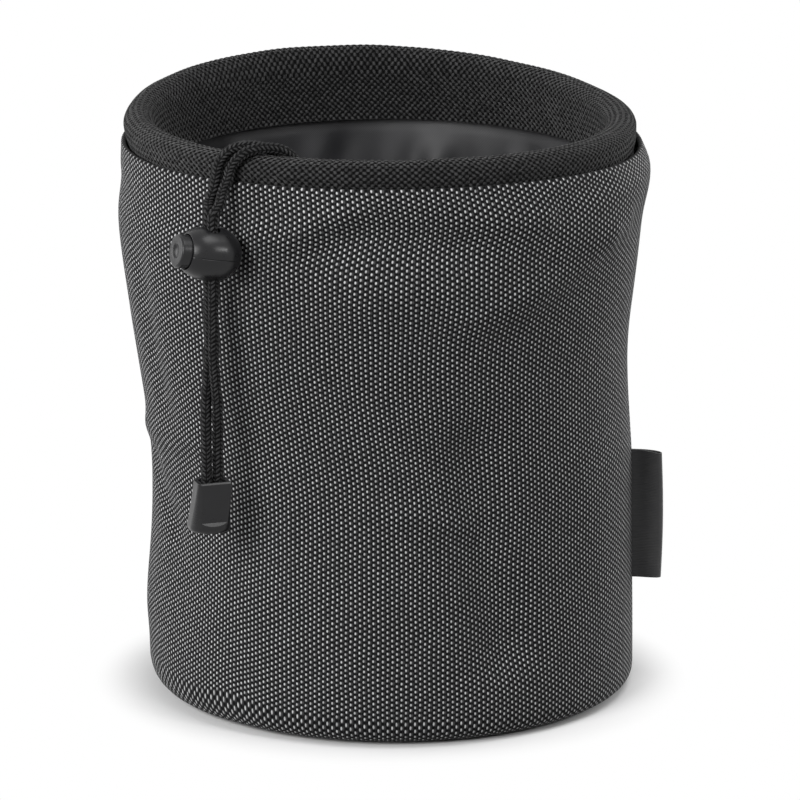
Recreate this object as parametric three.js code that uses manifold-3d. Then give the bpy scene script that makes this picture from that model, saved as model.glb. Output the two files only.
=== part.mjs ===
// Peg bag: a sewn cloth bag with a padded knit rim, a drawstring closing and a spring cord lock.
// Millimetres, +Z up. The origin is the middle of the base, on the surface that the bag stands on.
// The front, where the drawcord hangs, faces -Y, and the side seam with the label faces +X.
import * as THREE from "three";
import { mergeVertices } from "three/addons/utils/BufferGeometryUtils.js";
import Module from "manifold-3d";

const wasm = await Module();
wasm.setup();

// Fits
const GAP = 0.3; // between pieces that lie against each other
const TAPE = 0.6; // binding tape over the raw seam edges

// Body panel: one strip of cloth, closed by the side seam
const CLOTH = 1.2;
const BODY_HEIGHT = 172.5;
const TOP_RADIUS = 80;
const WAIST_RADIUS = 73.6;
const WAIST_HEIGHT = 62;
const FLARE_HEIGHT = 75; // from here up the wall widens
const FOOT_RADIUS = 74.2;
const FOOT_ROUND = 10.5; // width of the rounded foot
const FOOT_TALL = 8.6;
const FOOT_SAG = 2.6; // taller by this much at the left, and less tall at the right
const UNDER_WIDTH = 2.7; // of the wall's cloth under the foot, in to the base seam
const HEM_DEPTH = 9; // turned in at the top edge
const HEM_DRAW = 1.4; // the top edge is drawn in
const BODY_STATIONS = 44;
const FOOT_STEPS = 3;

// Soft dents that the cloth takes as it stands, and where it bulges: where, how deep and how wide
const DENTS = [
  { angle: 176, height: 62, depth: 0.6, wide: 26, tall: 26 },
  { angle: 184, height: 112, depth: 0.9, wide: 24, tall: 22 },
  { angle: 182, height: 27, depth: -1, wide: 34, tall: 16 },
  { angle: -148, height: 52, depth: 1.8, wide: 14, tall: 34 },
  { angle: -96, height: 96, depth: 1.2, wide: 20, tall: 34 },
  { angle: -52, height: 60, depth: 1.6, wide: 18, tall: 30 },
  { angle: 14, height: 108, depth: 1.4, wide: 16, tall: 20 },
  { angle: 78, height: 64, depth: 1.8, wide: 26, tall: 32 },
];

// The upper part of the bag leans to the left, less so just below its top edge
const LEAN = 3.5;
const LEAN_START = 66;
const LEAN_END = 118;
const LEAN_BACK = 1.9;
const LEAN_BACK_DROP = 12.5; // below the body's top edge
const LEAN_BACK_TALL = 9;

// Base seam
const SEAM_RISE = 8.5; // seam allowance that stands up inside

// Side seam and the folded label sewn into it
const SEAM_ANGLE = -4;
const SEAM_DEPTH = 5;
const SEAM_START = 20;
const SEAM_END = 22.5; // below the body's top edge
const LABEL_BOTTOM = 33;
const LABEL_TALL = 40.4;
const LABEL_STAND = 8.9; // beyond the wall
const LABEL_RIBBON = 0.45;
const LABEL_LOOP = 1.3; // half of the opening at the fold
const LABEL_TAIL = 0.8; // both ends together, in the seam

// Rim collar: a strip of thick knit mesh, folded over
const KNIT = 2.4;
const ROLL_THICK = 9.4;
const ROLL_RISE = 7.5; // crest above the body's top edge, on average
const ROLL_FOOT = 2; // widest place of the roll above the body's top edge
const ROLL_BULGE = 1.9; // over the body's top edge
const LEAF_OUTER = 10; // below the body's top edge
const LEAF_INNER = 12.5;

// The roll's crest rises and falls around the rim: shares of the cosine and sine, once and twice around
const WAVE_ONCE = [-1.2, 1.4];
const WAVE_TWICE = [-1.3, -0.6];

// Closing skirt: thin cloth that hangs inside from the collar, with the cord's casing at its lower edge
const NYLON = 0.8;
const SKIRT_LAP = 8; // behind the collar's inner leaf
const SKIRT_DROP = 67; // from the collar's lower edge to the cord
const SKIRT_RADIUS = 66;
const SKIRT_FOLD = 1.8;
const SKIRT_FOLDS = 8;
const FOLD_STEPS = 6;
const CASING_EASE = 0.9; // around the cord
const CASING_WRAP = 300; // degrees that the hem turns around the cord
const NOTCH_STEPS = 2; // fold steps either side of the place where the cord leaves

// Drawcord
const CORD = 3.3;
const TAIL_ANGLE = -124.5; // where the tails come over the rim
const EXIT_HALF = 11; // degrees from there to where the cord leaves the casing

// Cord lock: a barrel with a round end and a spring button, on both tails
const LOCK_DROP = 22.9; // below the widest place of the roll
const LOCK_ALONG = 0.7;
const LOCK_REST = 0.5; // clear of the wall
const LOCK_TILT = 10; // degrees that the button's end is lifted
const BUTTON_ANGLE = 204; // direction in which the button points
const BARREL_LONG = 9.2; // from the middle of the round end to the mouth
const BALL_WALL = 2.3;
const BALL_FLOOR = 1.2;
const MOUTH_LIP = 0.35;
const BARREL_CURVE = 3.2; // how late the barrel narrows to its mouth
const BUTTON_WALL = 1.25;
const BUTTON_FLOOR = 1.3;
const BUTTON_STAND = 1.6; // left outside the barrel when pressed
const BUTTON_RING = 2.8; // around the dished end
const BUTTON_RECESS = 0.8;
const PRESS = 1.7; // travel
const SPRING_POCKET = 2.4;
const SPRING_RADIUS = 2.1;
const SPRING_WIRE = 0.4;
const SPRING_TURNS = 3;

// Cord end: a flared cap over both tails, with the wedge that jams them
const CAP_TALL = 14.7;
const CAP_WALL = 1;
const CAP_FLOOR = 2.5;
const CAP_FLARE = 1.9;
const CAP_SIDE = 0.2; // share of the flare at the right side
const CAP_CORNER = 1.6;
const CAP_BOW = 3.5; // more round at the front of the foot
const CAP_LEDGE = 1.9; // foot of the flat front
const CAP_RAMP = 2.2; // tall, from the ledge to the flat front
const CAP_TURN = 17; // degrees
const WEDGE = 1.1;
const WEDGE_TALL = 9;

// The tails up the inside and over the rim: out from the middle of the roll, along the rim, up from the
// roll's widest place
const LEFT_OVER_RIM = [
  [-9.4, -13, -81.5],
  [-8.4, -9.8, -80.5],
  [-8.3, -8.2, -77.1],
  [-8.2, -7.6, -71],
  [-8, -5, -56],
  [-7.6, 0.4, -36],
  [-7.2, 7, -18],
  [-7, 11.2, -6],
  [-6.9, 12.2, 0],
  [-6, 10.8, 3.5],
  [-3.5, 7.4, 6.1],
  [0, 3, 7],
  [3.5, -0.2, 6.1],
  [5.8, -1.7, 3.9],
  [7, -2.5, 1.2],
  [8.2, -3.2, -1.8],
  [10.2, -3.5, -5.4],
  [12.6, -4, -8.6],
];
const RIGHT_OVER_RIM = [
  [-9.4, 13, -81.5],
  [-8.4, 9.8, -80.5],
  [-8.3, 8.2, -77.1],
  [-8.2, 8, -71],
  [-8, 9, -56],
  [-7.6, 11.4, -36],
  [-7.2, 14.8, -18],
  [-7, 16.5, -6],
  [-6.9, 16.6, 0],
  [-6, 15.4, 3.5],
  [-3.5, 12.8, 6.1],
  [0, 8.5, 7],
  [3.5, 5, 6.1],
  [5.8, 3, 3.9],
  [7, 1.8, 1.2],
  [8.4, 0.8, -1.8],
  [11, 0.1, -5.2],
  [14.2, 0.5, -8.4],
];
// The hanging tails: height from the lock, and how far the pair has turned about each other
const HANGING = [
  [11.5, 0],
  [6, 0],
  [0, 0],
  [-10, 0],
  [-20, 0],
  [-31, 0],
  [-38, 16],
  [-46, 48],
  [-54, 76],
  [-62, 88],
  [-69.1, 88],
];
const TAIL_STEPS = 76;
const RUN_STEPS = 80;
const CORD_SIDES = 8;

const SEGMENTS = 42;

// Values that follow from the ones above
const rad = THREE.MathUtils.degToRad;
const baseRadius = FOOT_RADIUS - FOOT_ROUND - UNDER_WIDTH;
const leafRadius = TOP_RADIUS - HEM_DRAW - 2 * CLOTH - 2 * GAP;
const rollRadius = leafRadius + ROLL_BULGE - ROLL_THICK / 2;
const rollHeight = BODY_HEIGHT + ROLL_FOOT;
const leafBottom = BODY_HEIGHT - LEAF_INNER;
const cordRadius = CORD / 2;
const casingHeight = leafBottom - SKIRT_DROP;
const casingRadius = cordRadius + CASING_EASE + NYLON / 2;
const pairHalf = (CORD + GAP) / 2;
const slotHalf = pairHalf + cordRadius + GAP;
const buttonRadius = slotHalf + BUTTON_WALL;
const boreRadius = buttonRadius + GAP;
const ballRadius = boreRadius + BALL_WALL;
const pocketFloor = BALL_FLOOR - ballRadius;
const boreFloor = pocketFloor + SPRING_POCKET;
const buttonInner = boreFloor + GAP + PRESS;
const slotInner = buttonInner + BUTTON_FLOOR;
const cordPlace = slotInner + GAP + cordRadius;
const slotOuter = cordPlace + cordRadius + GAP + PRESS;
const buttonOuter = BARREL_LONG + PRESS + BUTTON_STAND;
const labelSlit = LABEL_TAIL / 2 + GAP;
const seamEnd = BODY_HEIGHT - SEAM_END;

// Materials
const bodyCloth = new THREE.MeshStandardMaterial({ color: 0x4a4b4e, roughness: 0.95, metalness: 0 });
const knitMesh = new THREE.MeshStandardMaterial({ color: 0x161618, roughness: 0.9, metalness: 0 });
const thinNylon = new THREE.MeshStandardMaterial({ color: 0x232428, roughness: 0.6, metalness: 0 });
const tapeCloth = new THREE.MeshStandardMaterial({ color: 0x1b1b1d, roughness: 0.85, metalness: 0 });
const ribbonCloth = new THREE.MeshStandardMaterial({ color: 0x0f0f11, roughness: 0.55, metalness: 0 });
const cordBraid = new THREE.MeshStandardMaterial({ color: 0x141416, roughness: 0.8, metalness: 0 });
const blackPlastic = new THREE.MeshStandardMaterial({ color: 0x121214, roughness: 0.35, metalness: 0 });
const springSteel = new THREE.MeshStandardMaterial({ color: 0xa8abb0, roughness: 0.3, metalness: 1 });

function smooth(from, to, value) {
  const share = Math.min(Math.max((value - from) / (to - from), 0), 1);
  return share * share * (3 - 2 * share);
}

function turnBetween(a, b) {
  return ((((a - b) % 360) + 540) % 360) - 180;
}

// Radius of the body's outer face at an angle in degrees and a height
function wallRadius(angle, height) {
  const upper = (TOP_RADIUS - WAIST_RADIUS) * smooth(FLARE_HEIGHT, BODY_HEIGHT - HEM_DEPTH, height);
  const lower = (FOOT_RADIUS - WAIST_RADIUS) * smooth(WAIST_HEIGHT, FOOT_TALL, height);
  const free = smooth(FOOT_TALL, FOOT_TALL + 18, height) * smooth(BODY_HEIGHT - 8, BODY_HEIGHT - 30, height);
  let dented = 0;
  for (const dent of DENTS) {
    const across = turnBetween(angle, dent.angle) / dent.wide;
    const updown = (height - dent.height) / dent.tall;
    dented += dent.depth * Math.exp(-across * across - updown * updown);
  }
  return WAIST_RADIUS + upper + lower - free * dented;
}

// Moves a point with the lean of the bag's upper part
function leaned(point) {
  const back = (point.z - BODY_HEIGHT + LEAN_BACK_DROP) / LEAN_BACK_TALL;
  point.x += LEAN_BACK * Math.exp(-back * back) - LEAN * smooth(LEAN_START, LEAN_END, point.z);
  return point;
}

// Height of the roll from its widest place to its crest, at an angle in degrees
function rollTall(angle) {
  const once = WAVE_ONCE[0] * Math.cos(rad(angle)) + WAVE_ONCE[1] * Math.sin(rad(angle));
  const twice = WAVE_TWICE[0] * Math.cos(rad(2 * angle)) + WAVE_TWICE[1] * Math.sin(rad(2 * angle));
  return ROLL_RISE - ROLL_FOOT + once + twice;
}

function polar(radius, angle, height) {
  return new THREE.Vector3(radius * Math.cos(rad(angle)), radius * Math.sin(rad(angle)), height);
}

// A point at the side seam: distance from the axis, across the seam, and height
function atSeam(radius, across, height) {
  return new THREE.Vector3(radius, across, height).applyAxisAngle(new THREE.Vector3(0, 0, 1), rad(SEAM_ANGLE));
}

// Turns a geometry's faces outwards
function facingOut(geometry) {
  const place = geometry.attributes.position;
  const order = geometry.index.array;
  const a = new THREE.Vector3();
  const b = new THREE.Vector3();
  const c = new THREE.Vector3();
  let volume = 0;
  for (let i = 0; i < order.length; i += 3) {
    a.fromBufferAttribute(place, order[i]);
    b.fromBufferAttribute(place, order[i + 1]);
    c.fromBufferAttribute(place, order[i + 2]);
    volume += a.dot(b.cross(c));
  }
  if (volume < 0) {
    for (let i = 0; i < order.length; i += 3) {
      [order[i + 1], order[i + 2]] = [order[i + 2], order[i + 1]];
    }
  }
  geometry.computeVertexNormals();
  return geometry;
}

function meshGeometry(points, triangles) {
  const geometry = new THREE.BufferGeometry().setFromPoints(points);
  geometry.setIndex(triangles);
  return facingOut(geometry);
}

// A sheet with thickness, from two grids of points, one for each face; it can close on itself around
function sheetGeometry(front, back, closed) {
  const stations = front.length;
  const rows = front[0].length;
  const points = [...front.flat(), ...back.flat()];
  const triangles = [];
  const f = (s, k) => (s % stations) * rows + k;
  const b = (s, k) => stations * rows + f(s, k);
  const quad = (p, q, r, s) => triangles.push(p, q, r, p, r, s);
  const spans = closed ? stations : stations - 1;
  for (let s = 0; s < spans; s++) {
    for (let k = 0; k < rows - 1; k++) {
      quad(f(s, k), f(s + 1, k), f(s + 1, k + 1), f(s, k + 1));
      quad(b(s, k), b(s, k + 1), b(s + 1, k + 1), b(s + 1, k));
    }
    quad(f(s + 1, 0), f(s, 0), b(s, 0), b(s + 1, 0));
    quad(f(s, rows - 1), f(s + 1, rows - 1), b(s + 1, rows - 1), b(s, rows - 1));
  }
  if (!closed) {
    const end = stations - 1;
    for (let k = 0; k < rows - 1; k++) {
      quad(f(0, k), f(0, k + 1), b(0, k + 1), b(0, k));
      quad(f(end, k + 1), f(end, k), b(end, k), b(end, k + 1));
    }
  }
  return meshGeometry(points, triangles);
}

// The two faces of a sheet whose middle follows a path of [radius, height]
function pathFaces(path, thick) {
  const faces = path.map((point, i) => {
    const before = path[Math.max(i - 1, 0)];
    const after = path[Math.min(i + 1, path.length - 1)];
    const away = new THREE.Vector2(after[1] - before[1], before[0] - after[0]).normalize();
    const bend = bendAt(before, point, after);
    return away.multiplyScalar(thick / 2 / bend);
  });
  const outer = path.map((point, i) => [point[0] + faces[i].x, point[1] + faces[i].y]);
  const inner = path.map((point, i) => [point[0] - faces[i].x, point[1] - faces[i].y]);
  return { outer, inner };
}

// Cosine of half the bend at a point of a path, which keeps the sheet's thickness around it
function bendAt(before, point, after) {
  const first = new THREE.Vector2(point[0] - before[0], point[1] - before[1]);
  const second = new THREE.Vector2(after[0] - point[0], after[1] - point[1]);
  if (first.length() === 0 || second.length() === 0) return 1;
  const turn = Math.abs(first.angle() - second.angle());
  return Math.cos(Math.min(turn, 2 * Math.PI - turn) / 2);
}

// An arc of [radius, height] points, in degrees from the outward direction
function arc(centreRadius, centreHeight, size, from, to, steps) {
  const points = [];
  for (let i = 0; i <= steps; i++) {
    const angle = rad(from + ((to - from) * i) / steps);
    points.push([centreRadius + size * Math.cos(angle), centreHeight + size * Math.sin(angle)]);
  }
  return points;
}

// A profile of [radius, height] points turned about the Z axis
function turned(profile, segments) {
  const points = profile.map(([radius, height]) => new THREE.Vector2(radius, height));
  const geometry = new THREE.LatheGeometry(points, segments).rotateX(Math.PI / 2);
  return facingOut(withoutSlivers(geometry));
}

function closedLoop(profile) {
  return [...profile, profile[0]];
}

// Merges the vertices and drops the triangles that have collapsed, as at a lathe's axis
function withoutSlivers(geometry) {
  const plain = new THREE.BufferGeometry();
  plain.setAttribute("position", geometry.attributes.position);
  plain.setIndex(geometry.index);
  const merged = mergeVertices(plain, 1e-4);
  const order = merged.index.array;
  const kept = [];
  for (let i = 0; i < order.length; i += 3) {
    const [a, b, c] = [order[i], order[i + 1], order[i + 2]];
    if (a !== b && b !== c && c !== a) kept.push(a, b, c);
  }
  merged.setIndex(kept);
  return merged;
}

// Closed loops of points, one above the other, joined and closed at both ends
function loftGeometry(loops) {
  const count = loops[0].length;
  const points = loops.flat();
  const triangles = [];
  for (let row = 0; row < loops.length - 1; row++) {
    for (let i = 0; i < count; i++) {
      const a = row * count + i;
      const b = row * count + ((i + 1) % count);
      triangles.push(a, b, b + count, a, b + count, a + count);
    }
  }
  const top = (loops.length - 1) * count;
  for (let i = 1; i < count - 1; i++) {
    triangles.push(0, i + 1, i, top, top + i, top + i + 1);
  }
  return meshGeometry(points, triangles);
}

// A solid that manifold-3d can cut
function solidOf(geometry) {
  const merged = withoutSlivers(geometry.index ? geometry : mergeVertices(geometry, 1e-4));
  const mesh = new wasm.Mesh({
    numProp: 3,
    vertProperties: Float32Array.from(merged.attributes.position.array),
    triVerts: Uint32Array.from(merged.index.array),
  });
  mesh.merge();
  return new wasm.Manifold(mesh);
}

function geometryOf(solid) {
  const mesh = solid.getMesh();
  const geometry = new THREE.BufferGeometry();
  geometry.setAttribute("position", new THREE.BufferAttribute(mesh.vertProperties, 3));
  geometry.setIndex(new THREE.BufferAttribute(mesh.triVerts, 1));
  geometry.computeVertexNormals();
  return geometry;
}

function cut(geometry, ...tools) {
  return geometryOf(tools.reduce((solid, tool) => solid.subtract(solidOf(tool)), solidOf(geometry)));
}

// A round section swept along points
function tube(points, radius, sides, steps) {
  const section = new THREE.Shape();
  for (let i = 0; i < sides; i++) {
    const angle = (2 * Math.PI * i) / sides;
    const corner = [radius * Math.cos(angle), radius * Math.sin(angle)];
    if (i === 0) section.moveTo(...corner);
    else section.lineTo(...corner);
  }
  section.closePath();
  const path = new THREE.CatmullRomCurve3(points, false, "centripetal");
  return new THREE.ExtrudeGeometry(section, { steps, bevelEnabled: false, extrudePath: path });
}

// A slot with round ends, two strands wide, extruded upwards
function pairSlot(halfWidth, halfLength, tall) {
  const straight = halfLength - halfWidth;
  const outline = new THREE.Shape();
  outline.absarc(0, straight, halfWidth, 0, Math.PI);
  outline.absarc(0, -straight, halfWidth, Math.PI, 2 * Math.PI);
  return new THREE.ExtrudeGeometry(outline, { depth: tall, bevelEnabled: false, curveSegments: 10 });
}

function named(name, geometry, material) {
  const mesh = new THREE.Mesh(geometry, material);
  mesh.name = name;
  return mesh;
}

// Heights of the body's wall between the foot and the hem; the seam's ends and the label's are among them
function wallLevels() {
  const labelTop = LABEL_BOTTOM + LABEL_TALL + 2;
  const levels = [SEAM_START, LABEL_BOTTOM - 2, LABEL_BOTTOM + LABEL_TALL / 2, labelTop];
  const rest = 4;
  for (let i = 1; i <= rest; i++) levels.push(labelTop + ((seamEnd - labelTop) * i) / rest);
  return levels;
}

// Half of the seam's opening: the label widens it
function slitHalf(height) {
  const atLabel = height > LABEL_BOTTOM - 3 && height < LABEL_BOTTOM + LABEL_TALL + 3;
  return atLabel ? labelSlit : GAP / 2;
}

// Middle of the cloth around the foot, which is rounder at the left
function footPath(angle) {
  const half = CLOTH / 2;
  const tall = FOOT_TALL - FOOT_SAG * Math.cos(rad(angle));
  const points = [];
  for (let i = 0; i <= FOOT_STEPS; i++) {
    const turn = rad((90 * i) / FOOT_STEPS);
    const out = (FOOT_ROUND - half) * Math.sin(turn);
    points.push([FOOT_RADIUS - FOOT_ROUND + out, tall - (tall - half) * Math.cos(turn)]);
  }
  return points;
}

// Section of the body's cloth at an angle: up from the base seam, under the foot, up the wall, in at the hem
function bodyPath(angle) {
  const half = CLOTH / 2;
  const seam = baseRadius + GAP + half;
  const turn = (CLOTH + GAP) / 2;
  const wall = TOP_RADIUS - half;
  return [
    [seam, SEAM_RISE],
    ...arc(seam + 1.4, half + 1.4, 1.4, 180, 270, 2),
    ...footPath(angle),
    ...wallLevels().map((height) => [wallRadius(angle, height) - half, height]),
    [wall, BODY_HEIGHT - HEM_DEPTH],
    ...arc(wall - HEM_DRAW - turn, BODY_HEIGHT - half - turn, turn, 0, 180, 3),
    [wall - 2 * turn, BODY_HEIGHT - HEM_DEPTH],
  ];
}

function bodyPanel() {
  const front = [];
  const back = [];
  const first = SEAM_ANGLE;
  const seamFaces = pathFaces(bodyPath(SEAM_ANGLE), CLOTH);
  const onSeam = (height) => height >= SEAM_START - 1e-6 && height <= seamEnd + 1e-6;
  const levels = bodyPath(SEAM_ANGLE).map((point) => point[1]);
  const footPoints = 4 + FOOT_STEPS;
  const wallCount = wallLevels().length;
  const flanged = (k) => k >= footPoints + 1 && k < footPoints + 1 + wallCount && onSeam(levels[k]);
  const seamStation = (side, deep) => {
    const outer = seamFaces.outer.map(([radius, height], k) => {
      const slit = flanged(k) ? slitHalf(levels[k]) : GAP / 2;
      if (!flanged(k)) return leaned(atSeam(radius, side * (deep ? slit : slit + 0.6), height));
      return leaned(atSeam(deep ? radius - CLOTH - SEAM_DEPTH : radius, side * slit, height));
    });
    const inner = seamFaces.inner.map(([radius, height], k) => {
      const slit = flanged(k) ? slitHalf(levels[k]) : GAP / 2;
      if (!flanged(k)) return leaned(atSeam(radius, side * (deep ? slit : slit + 0.6), height));
      return leaned(atSeam(deep ? radius - SEAM_DEPTH : radius, side * (slit + CLOTH), height));
    });
    front.push(outer);
    back.push(inner);
  };
  seamStation(1, true);
  seamStation(1, false);
  for (let i = 1; i < BODY_STATIONS; i++) {
    const angle = first + (360 * i) / BODY_STATIONS;
    const faces = pathFaces(bodyPath(angle), CLOTH);
    front.push(faces.outer.map(([radius, height]) => leaned(polar(radius, angle, height))));
    back.push(faces.inner.map(([radius, height]) => leaned(polar(radius, angle, height))));
  }
  seamStation(-1, false);
  seamStation(-1, true);
  return named("body_panel", sheetGeometry(front, back, false), bodyCloth);
}

// Tape folded over the two raw edges of the side seam
function sideSeamBinding() {
  const levels = wallLevels().filter((height) => height <= seamEnd + 1e-6);
  const face = (grow, legInset) => {
    const corners = [];
    for (const [side, bridge] of [[1, false], [1, true], [-1, true], [-1, false]]) {
      corners.push(
        levels.map((height) => {
          const wall = wallRadius(SEAM_ANGLE, height) - CLOTH;
          const across = side * (slitHalf(height) + CLOTH + grow);
          return leaned(atSeam(bridge ? wall - SEAM_DEPTH - grow : wall - legInset, across, height));
        }),
      );
    }
    return corners;
  };
  const legInset = 2 * GAP;
  const geometry = sheetGeometry(face(GAP + TAPE, legInset), face(GAP, legInset), false);
  return named("side_seam_binding", geometry, tapeCloth);
}

// Disc with its edge turned up inside
function basePanel() {
  const inside = baseRadius - CLOTH;
  const profile = [
    [0, 0],
    ...arc(baseRadius - 1.6, 1.6, 1.6, -90, 0, 2),
    [baseRadius, SEAM_RISE],
    [inside, SEAM_RISE],
    [inside, CLOTH + 0.6],
    [inside - 0.6, CLOTH],
    [0, CLOTH],
  ];
  return named("base_panel", turned(profile, SEGMENTS), bodyCloth);
}

// Tape folded over the two edges that stand up at the base seam
function baseSeamBinding() {
  const inner = baseRadius - CLOTH - GAP;
  const outer = baseRadius + GAP + CLOTH + GAP;
  const top = SEAM_RISE + GAP;
  const foot = CLOTH + 1.8;
  const profile = [
    [inner - TAPE, foot],
    [inner, foot],
    [inner, top],
    [outer, top],
    [outer, foot],
    [outer + TAPE, foot],
    [outer + TAPE, top + TAPE],
    [inner - TAPE, top + TAPE],
  ];
  return named("base_seam_binding", turned(closedLoop(profile), SEGMENTS), tapeCloth);
}

// Ribbon folded in two: the fold stands out of the seam and both ends are sewn into it
function sideLabel() {
  const wall = wallRadius(SEAM_ANGLE, LABEL_BOTTOM + LABEL_TALL / 2);
  const tip = wall + LABEL_STAND;
  const half = LABEL_TAIL / 2;
  const outline = new THREE.Shape();
  outline.moveTo(wall - CLOTH - SEAM_DEPTH + 1, -half);
  outline.lineTo(wall + 0.8, -half);
  outline.bezierCurveTo(wall + 3, -half, tip - 4, -LABEL_LOOP, tip - LABEL_LOOP, -LABEL_LOOP);
  outline.absarc(tip - LABEL_LOOP, 0, LABEL_LOOP, -Math.PI / 2, Math.PI / 2);
  outline.bezierCurveTo(tip - 4, LABEL_LOOP, wall + 3, half, wall + 0.8, half);
  outline.lineTo(wall - CLOTH - SEAM_DEPTH + 1, half);
  outline.closePath();
  const inside = LABEL_LOOP - LABEL_RIBBON;
  const hollow = new THREE.Path();
  hollow.moveTo(wall + 3.4, 0);
  hollow.quadraticCurveTo(tip - 4, inside, tip - LABEL_LOOP, inside);
  hollow.absarc(tip - LABEL_LOOP, 0, inside, Math.PI / 2, -Math.PI / 2, true);
  hollow.quadraticCurveTo(tip - 4, -inside, wall + 3.4, 0);
  outline.holes.push(hollow);
  const options = { depth: LABEL_TALL, bevelEnabled: false, curveSegments: 6 };
  const label = named("side_label", new THREE.ExtrudeGeometry(outline, options), ribbonCloth);
  label.rotation.z = rad(SEAM_ANGLE);
  label.position.z = LABEL_BOTTOM;
  return label;
}

// Upper part of the roll's section, of a given half width and height
function rollArc(size, tall) {
  return arc(0, 0, 1, 0, 180, 8).map(([out, up]) => [rollRadius + size * out, rollHeight + tall * up]);
}

// Knit strip folded over into a roll, its outer leaf inside the body's hem and its inner leaf inside the bag
function rimCollar() {
  const half = ROLL_THICK / 2;
  const face = (inset) => {
    const stations = [];
    for (let i = 0; i < SEGMENTS; i++) {
      const angle = (360 * i) / SEGMENTS;
      const section = [
        [leafRadius - inset, BODY_HEIGHT - LEAF_OUTER],
        [leafRadius - inset, BODY_HEIGHT + GAP],
        ...rollArc(half - inset, rollTall(angle) - inset),
        [rollRadius - half + inset, leafBottom + SKIRT_LAP],
        [rollRadius - half + inset, leafBottom],
      ];
      stations.push(section.map(([radius, height]) => leaned(polar(radius, angle, height))));
    }
    return stations;
  };
  return named("rim_collar", sheetGeometry(face(0), face(KNIT), true), knitMesh);
}

// Radius of the skirt's middle at the casing
function skirtRadius(angle) {
  return SKIRT_RADIUS + SKIRT_FOLD * Math.cos(SKIRT_FOLDS * rad(angle - TAIL_ANGLE));
}

// Section of the skirt: behind the collar's leaf, down in folds, and around the cord
function skirtPath(angle) {
  const sewn = rollRadius - ROLL_THICK / 2 + KNIT + GAP + NYLON / 2;
  const casing = skirtRadius(angle);
  const hang = [0.12, 0.32, 0.6].map((share) => {
    const height = leafBottom - 2 - share * (SKIRT_DROP - 6);
    const radius = sewn + (casing - sewn) * (0.35 * share + 0.65 * Math.sqrt(share));
    return [radius, height];
  });
  return [
    [sewn, leafBottom + SKIRT_LAP],
    [sewn, leafBottom],
    [sewn, leafBottom - 2],
    ...hang,
    [casing, casingHeight + 4],
    ...arc(casing - casingRadius, casingHeight, casingRadius, 0, -CASING_WRAP, 5),
  ];
}

function closingSkirt() {
  const front = [];
  const back = [];
  const stations = SKIRT_FOLDS * FOLD_STEPS;
  for (let i = 0; i < stations; i++) {
    const angle = TAIL_ANGLE + (360 * i) / stations;
    const faces = pathFaces(skirtPath(angle), NYLON);
    front.push(faces.outer.map(([radius, height]) => leaned(polar(radius, angle, height))));
    back.push(faces.inner.map(([radius, height]) => leaned(polar(radius, angle, height))));
  }
  return named("closing_skirt", cut(sheetGeometry(front, back, true), casingNotch()), thinNylon);
}

// The part of the casing that is cut away where the cord comes out
function casingNotch() {
  const front = [];
  const back = [];
  const low = casingHeight - cordRadius;
  const high = casingHeight + 2 * casingRadius;
  for (let i = -NOTCH_STEPS; i <= NOTCH_STEPS; i++) {
    const angle = TAIL_ANGLE + (360 * i) / (SKIRT_FOLDS * FOLD_STEPS);
    const wall = skirtRadius(angle) - NYLON;
    front.push([low, high].map((height) => leaned(polar(wall, angle, height))));
    back.push([low, high].map((height) => leaned(polar(wall - 3 * casingRadius, angle, height))));
  }
  return sheetGeometry(front, back, false);
}

// The cord's run in the casing, from one side of the notch around to the other
function drawcordRun() {
  const stations = SKIRT_FOLDS * FOLD_STEPS;
  const angles = [EXIT_HALF];
  for (let i = 1; i < stations; i++) {
    const turn = (360 * i) / stations;
    if (turn > EXIT_HALF + 2 && turn < 358 - EXIT_HALF) angles.push(turn);
  }
  angles.push(360 - EXIT_HALF);
  const points = angles.map((turn) => {
    const angle = TAIL_ANGLE + turn;
    return leaned(polar(skirtRadius(angle) - casingRadius, angle, casingHeight));
  });
  return named("drawcord_run", tube(points, cordRadius, CORD_SIDES, RUN_STEPS), cordBraid);
}

// A point seen from the middle of the roll where the tails come over it
function atRim([out, along, up]) {
  const angle = TAIL_ANGLE + THREE.MathUtils.radToDeg(along / rollRadius);
  return leaned(polar(rollRadius + out, angle, rollHeight + up));
}

// Middle of the lock's round end, against the wall below the rim
function ballCentre() {
  const wall = wallRadius(TAIL_ANGLE, rollHeight - LOCK_DROP) + ballRadius + LOCK_REST;
  return atRim([wall - rollRadius, LOCK_ALONG, -LOCK_DROP]);
}

// Direction in which the button points
function buttonDirection() {
  return polar(Math.cos(rad(LOCK_TILT)), BUTTON_ANGLE, Math.sin(rad(LOCK_TILT)));
}

// Where the pair of tails passes through the lock
function pairAxis() {
  return ballCentre().addScaledVector(buttonDirection(), cordPlace);
}

// A tail from the casing, over the rim and down through the lock to the cord end; side is 1 or -1
function drawcordTail(name, overRim, side) {
  const points = overRim.map(atRim);
  const axis = pairAxis();
  const across = polar(1, BUTTON_ANGLE + 90, 0);
  for (const [up, turn] of HANGING) {
    const apart = across.clone().applyAxisAngle(new THREE.Vector3(0, 0, 1), rad(turn));
    points.push(axis.clone().addScaledVector(apart, side * pairHalf).setZ(axis.z + up));
  }
  const end = points[points.length - 1];
  points.push(end.clone().setZ(capBottom() + CAP_FLOOR + GAP));
  return named(name, tube(points, cordRadius, CORD_SIDES, TAIL_STEPS), cordBraid);
}

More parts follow.
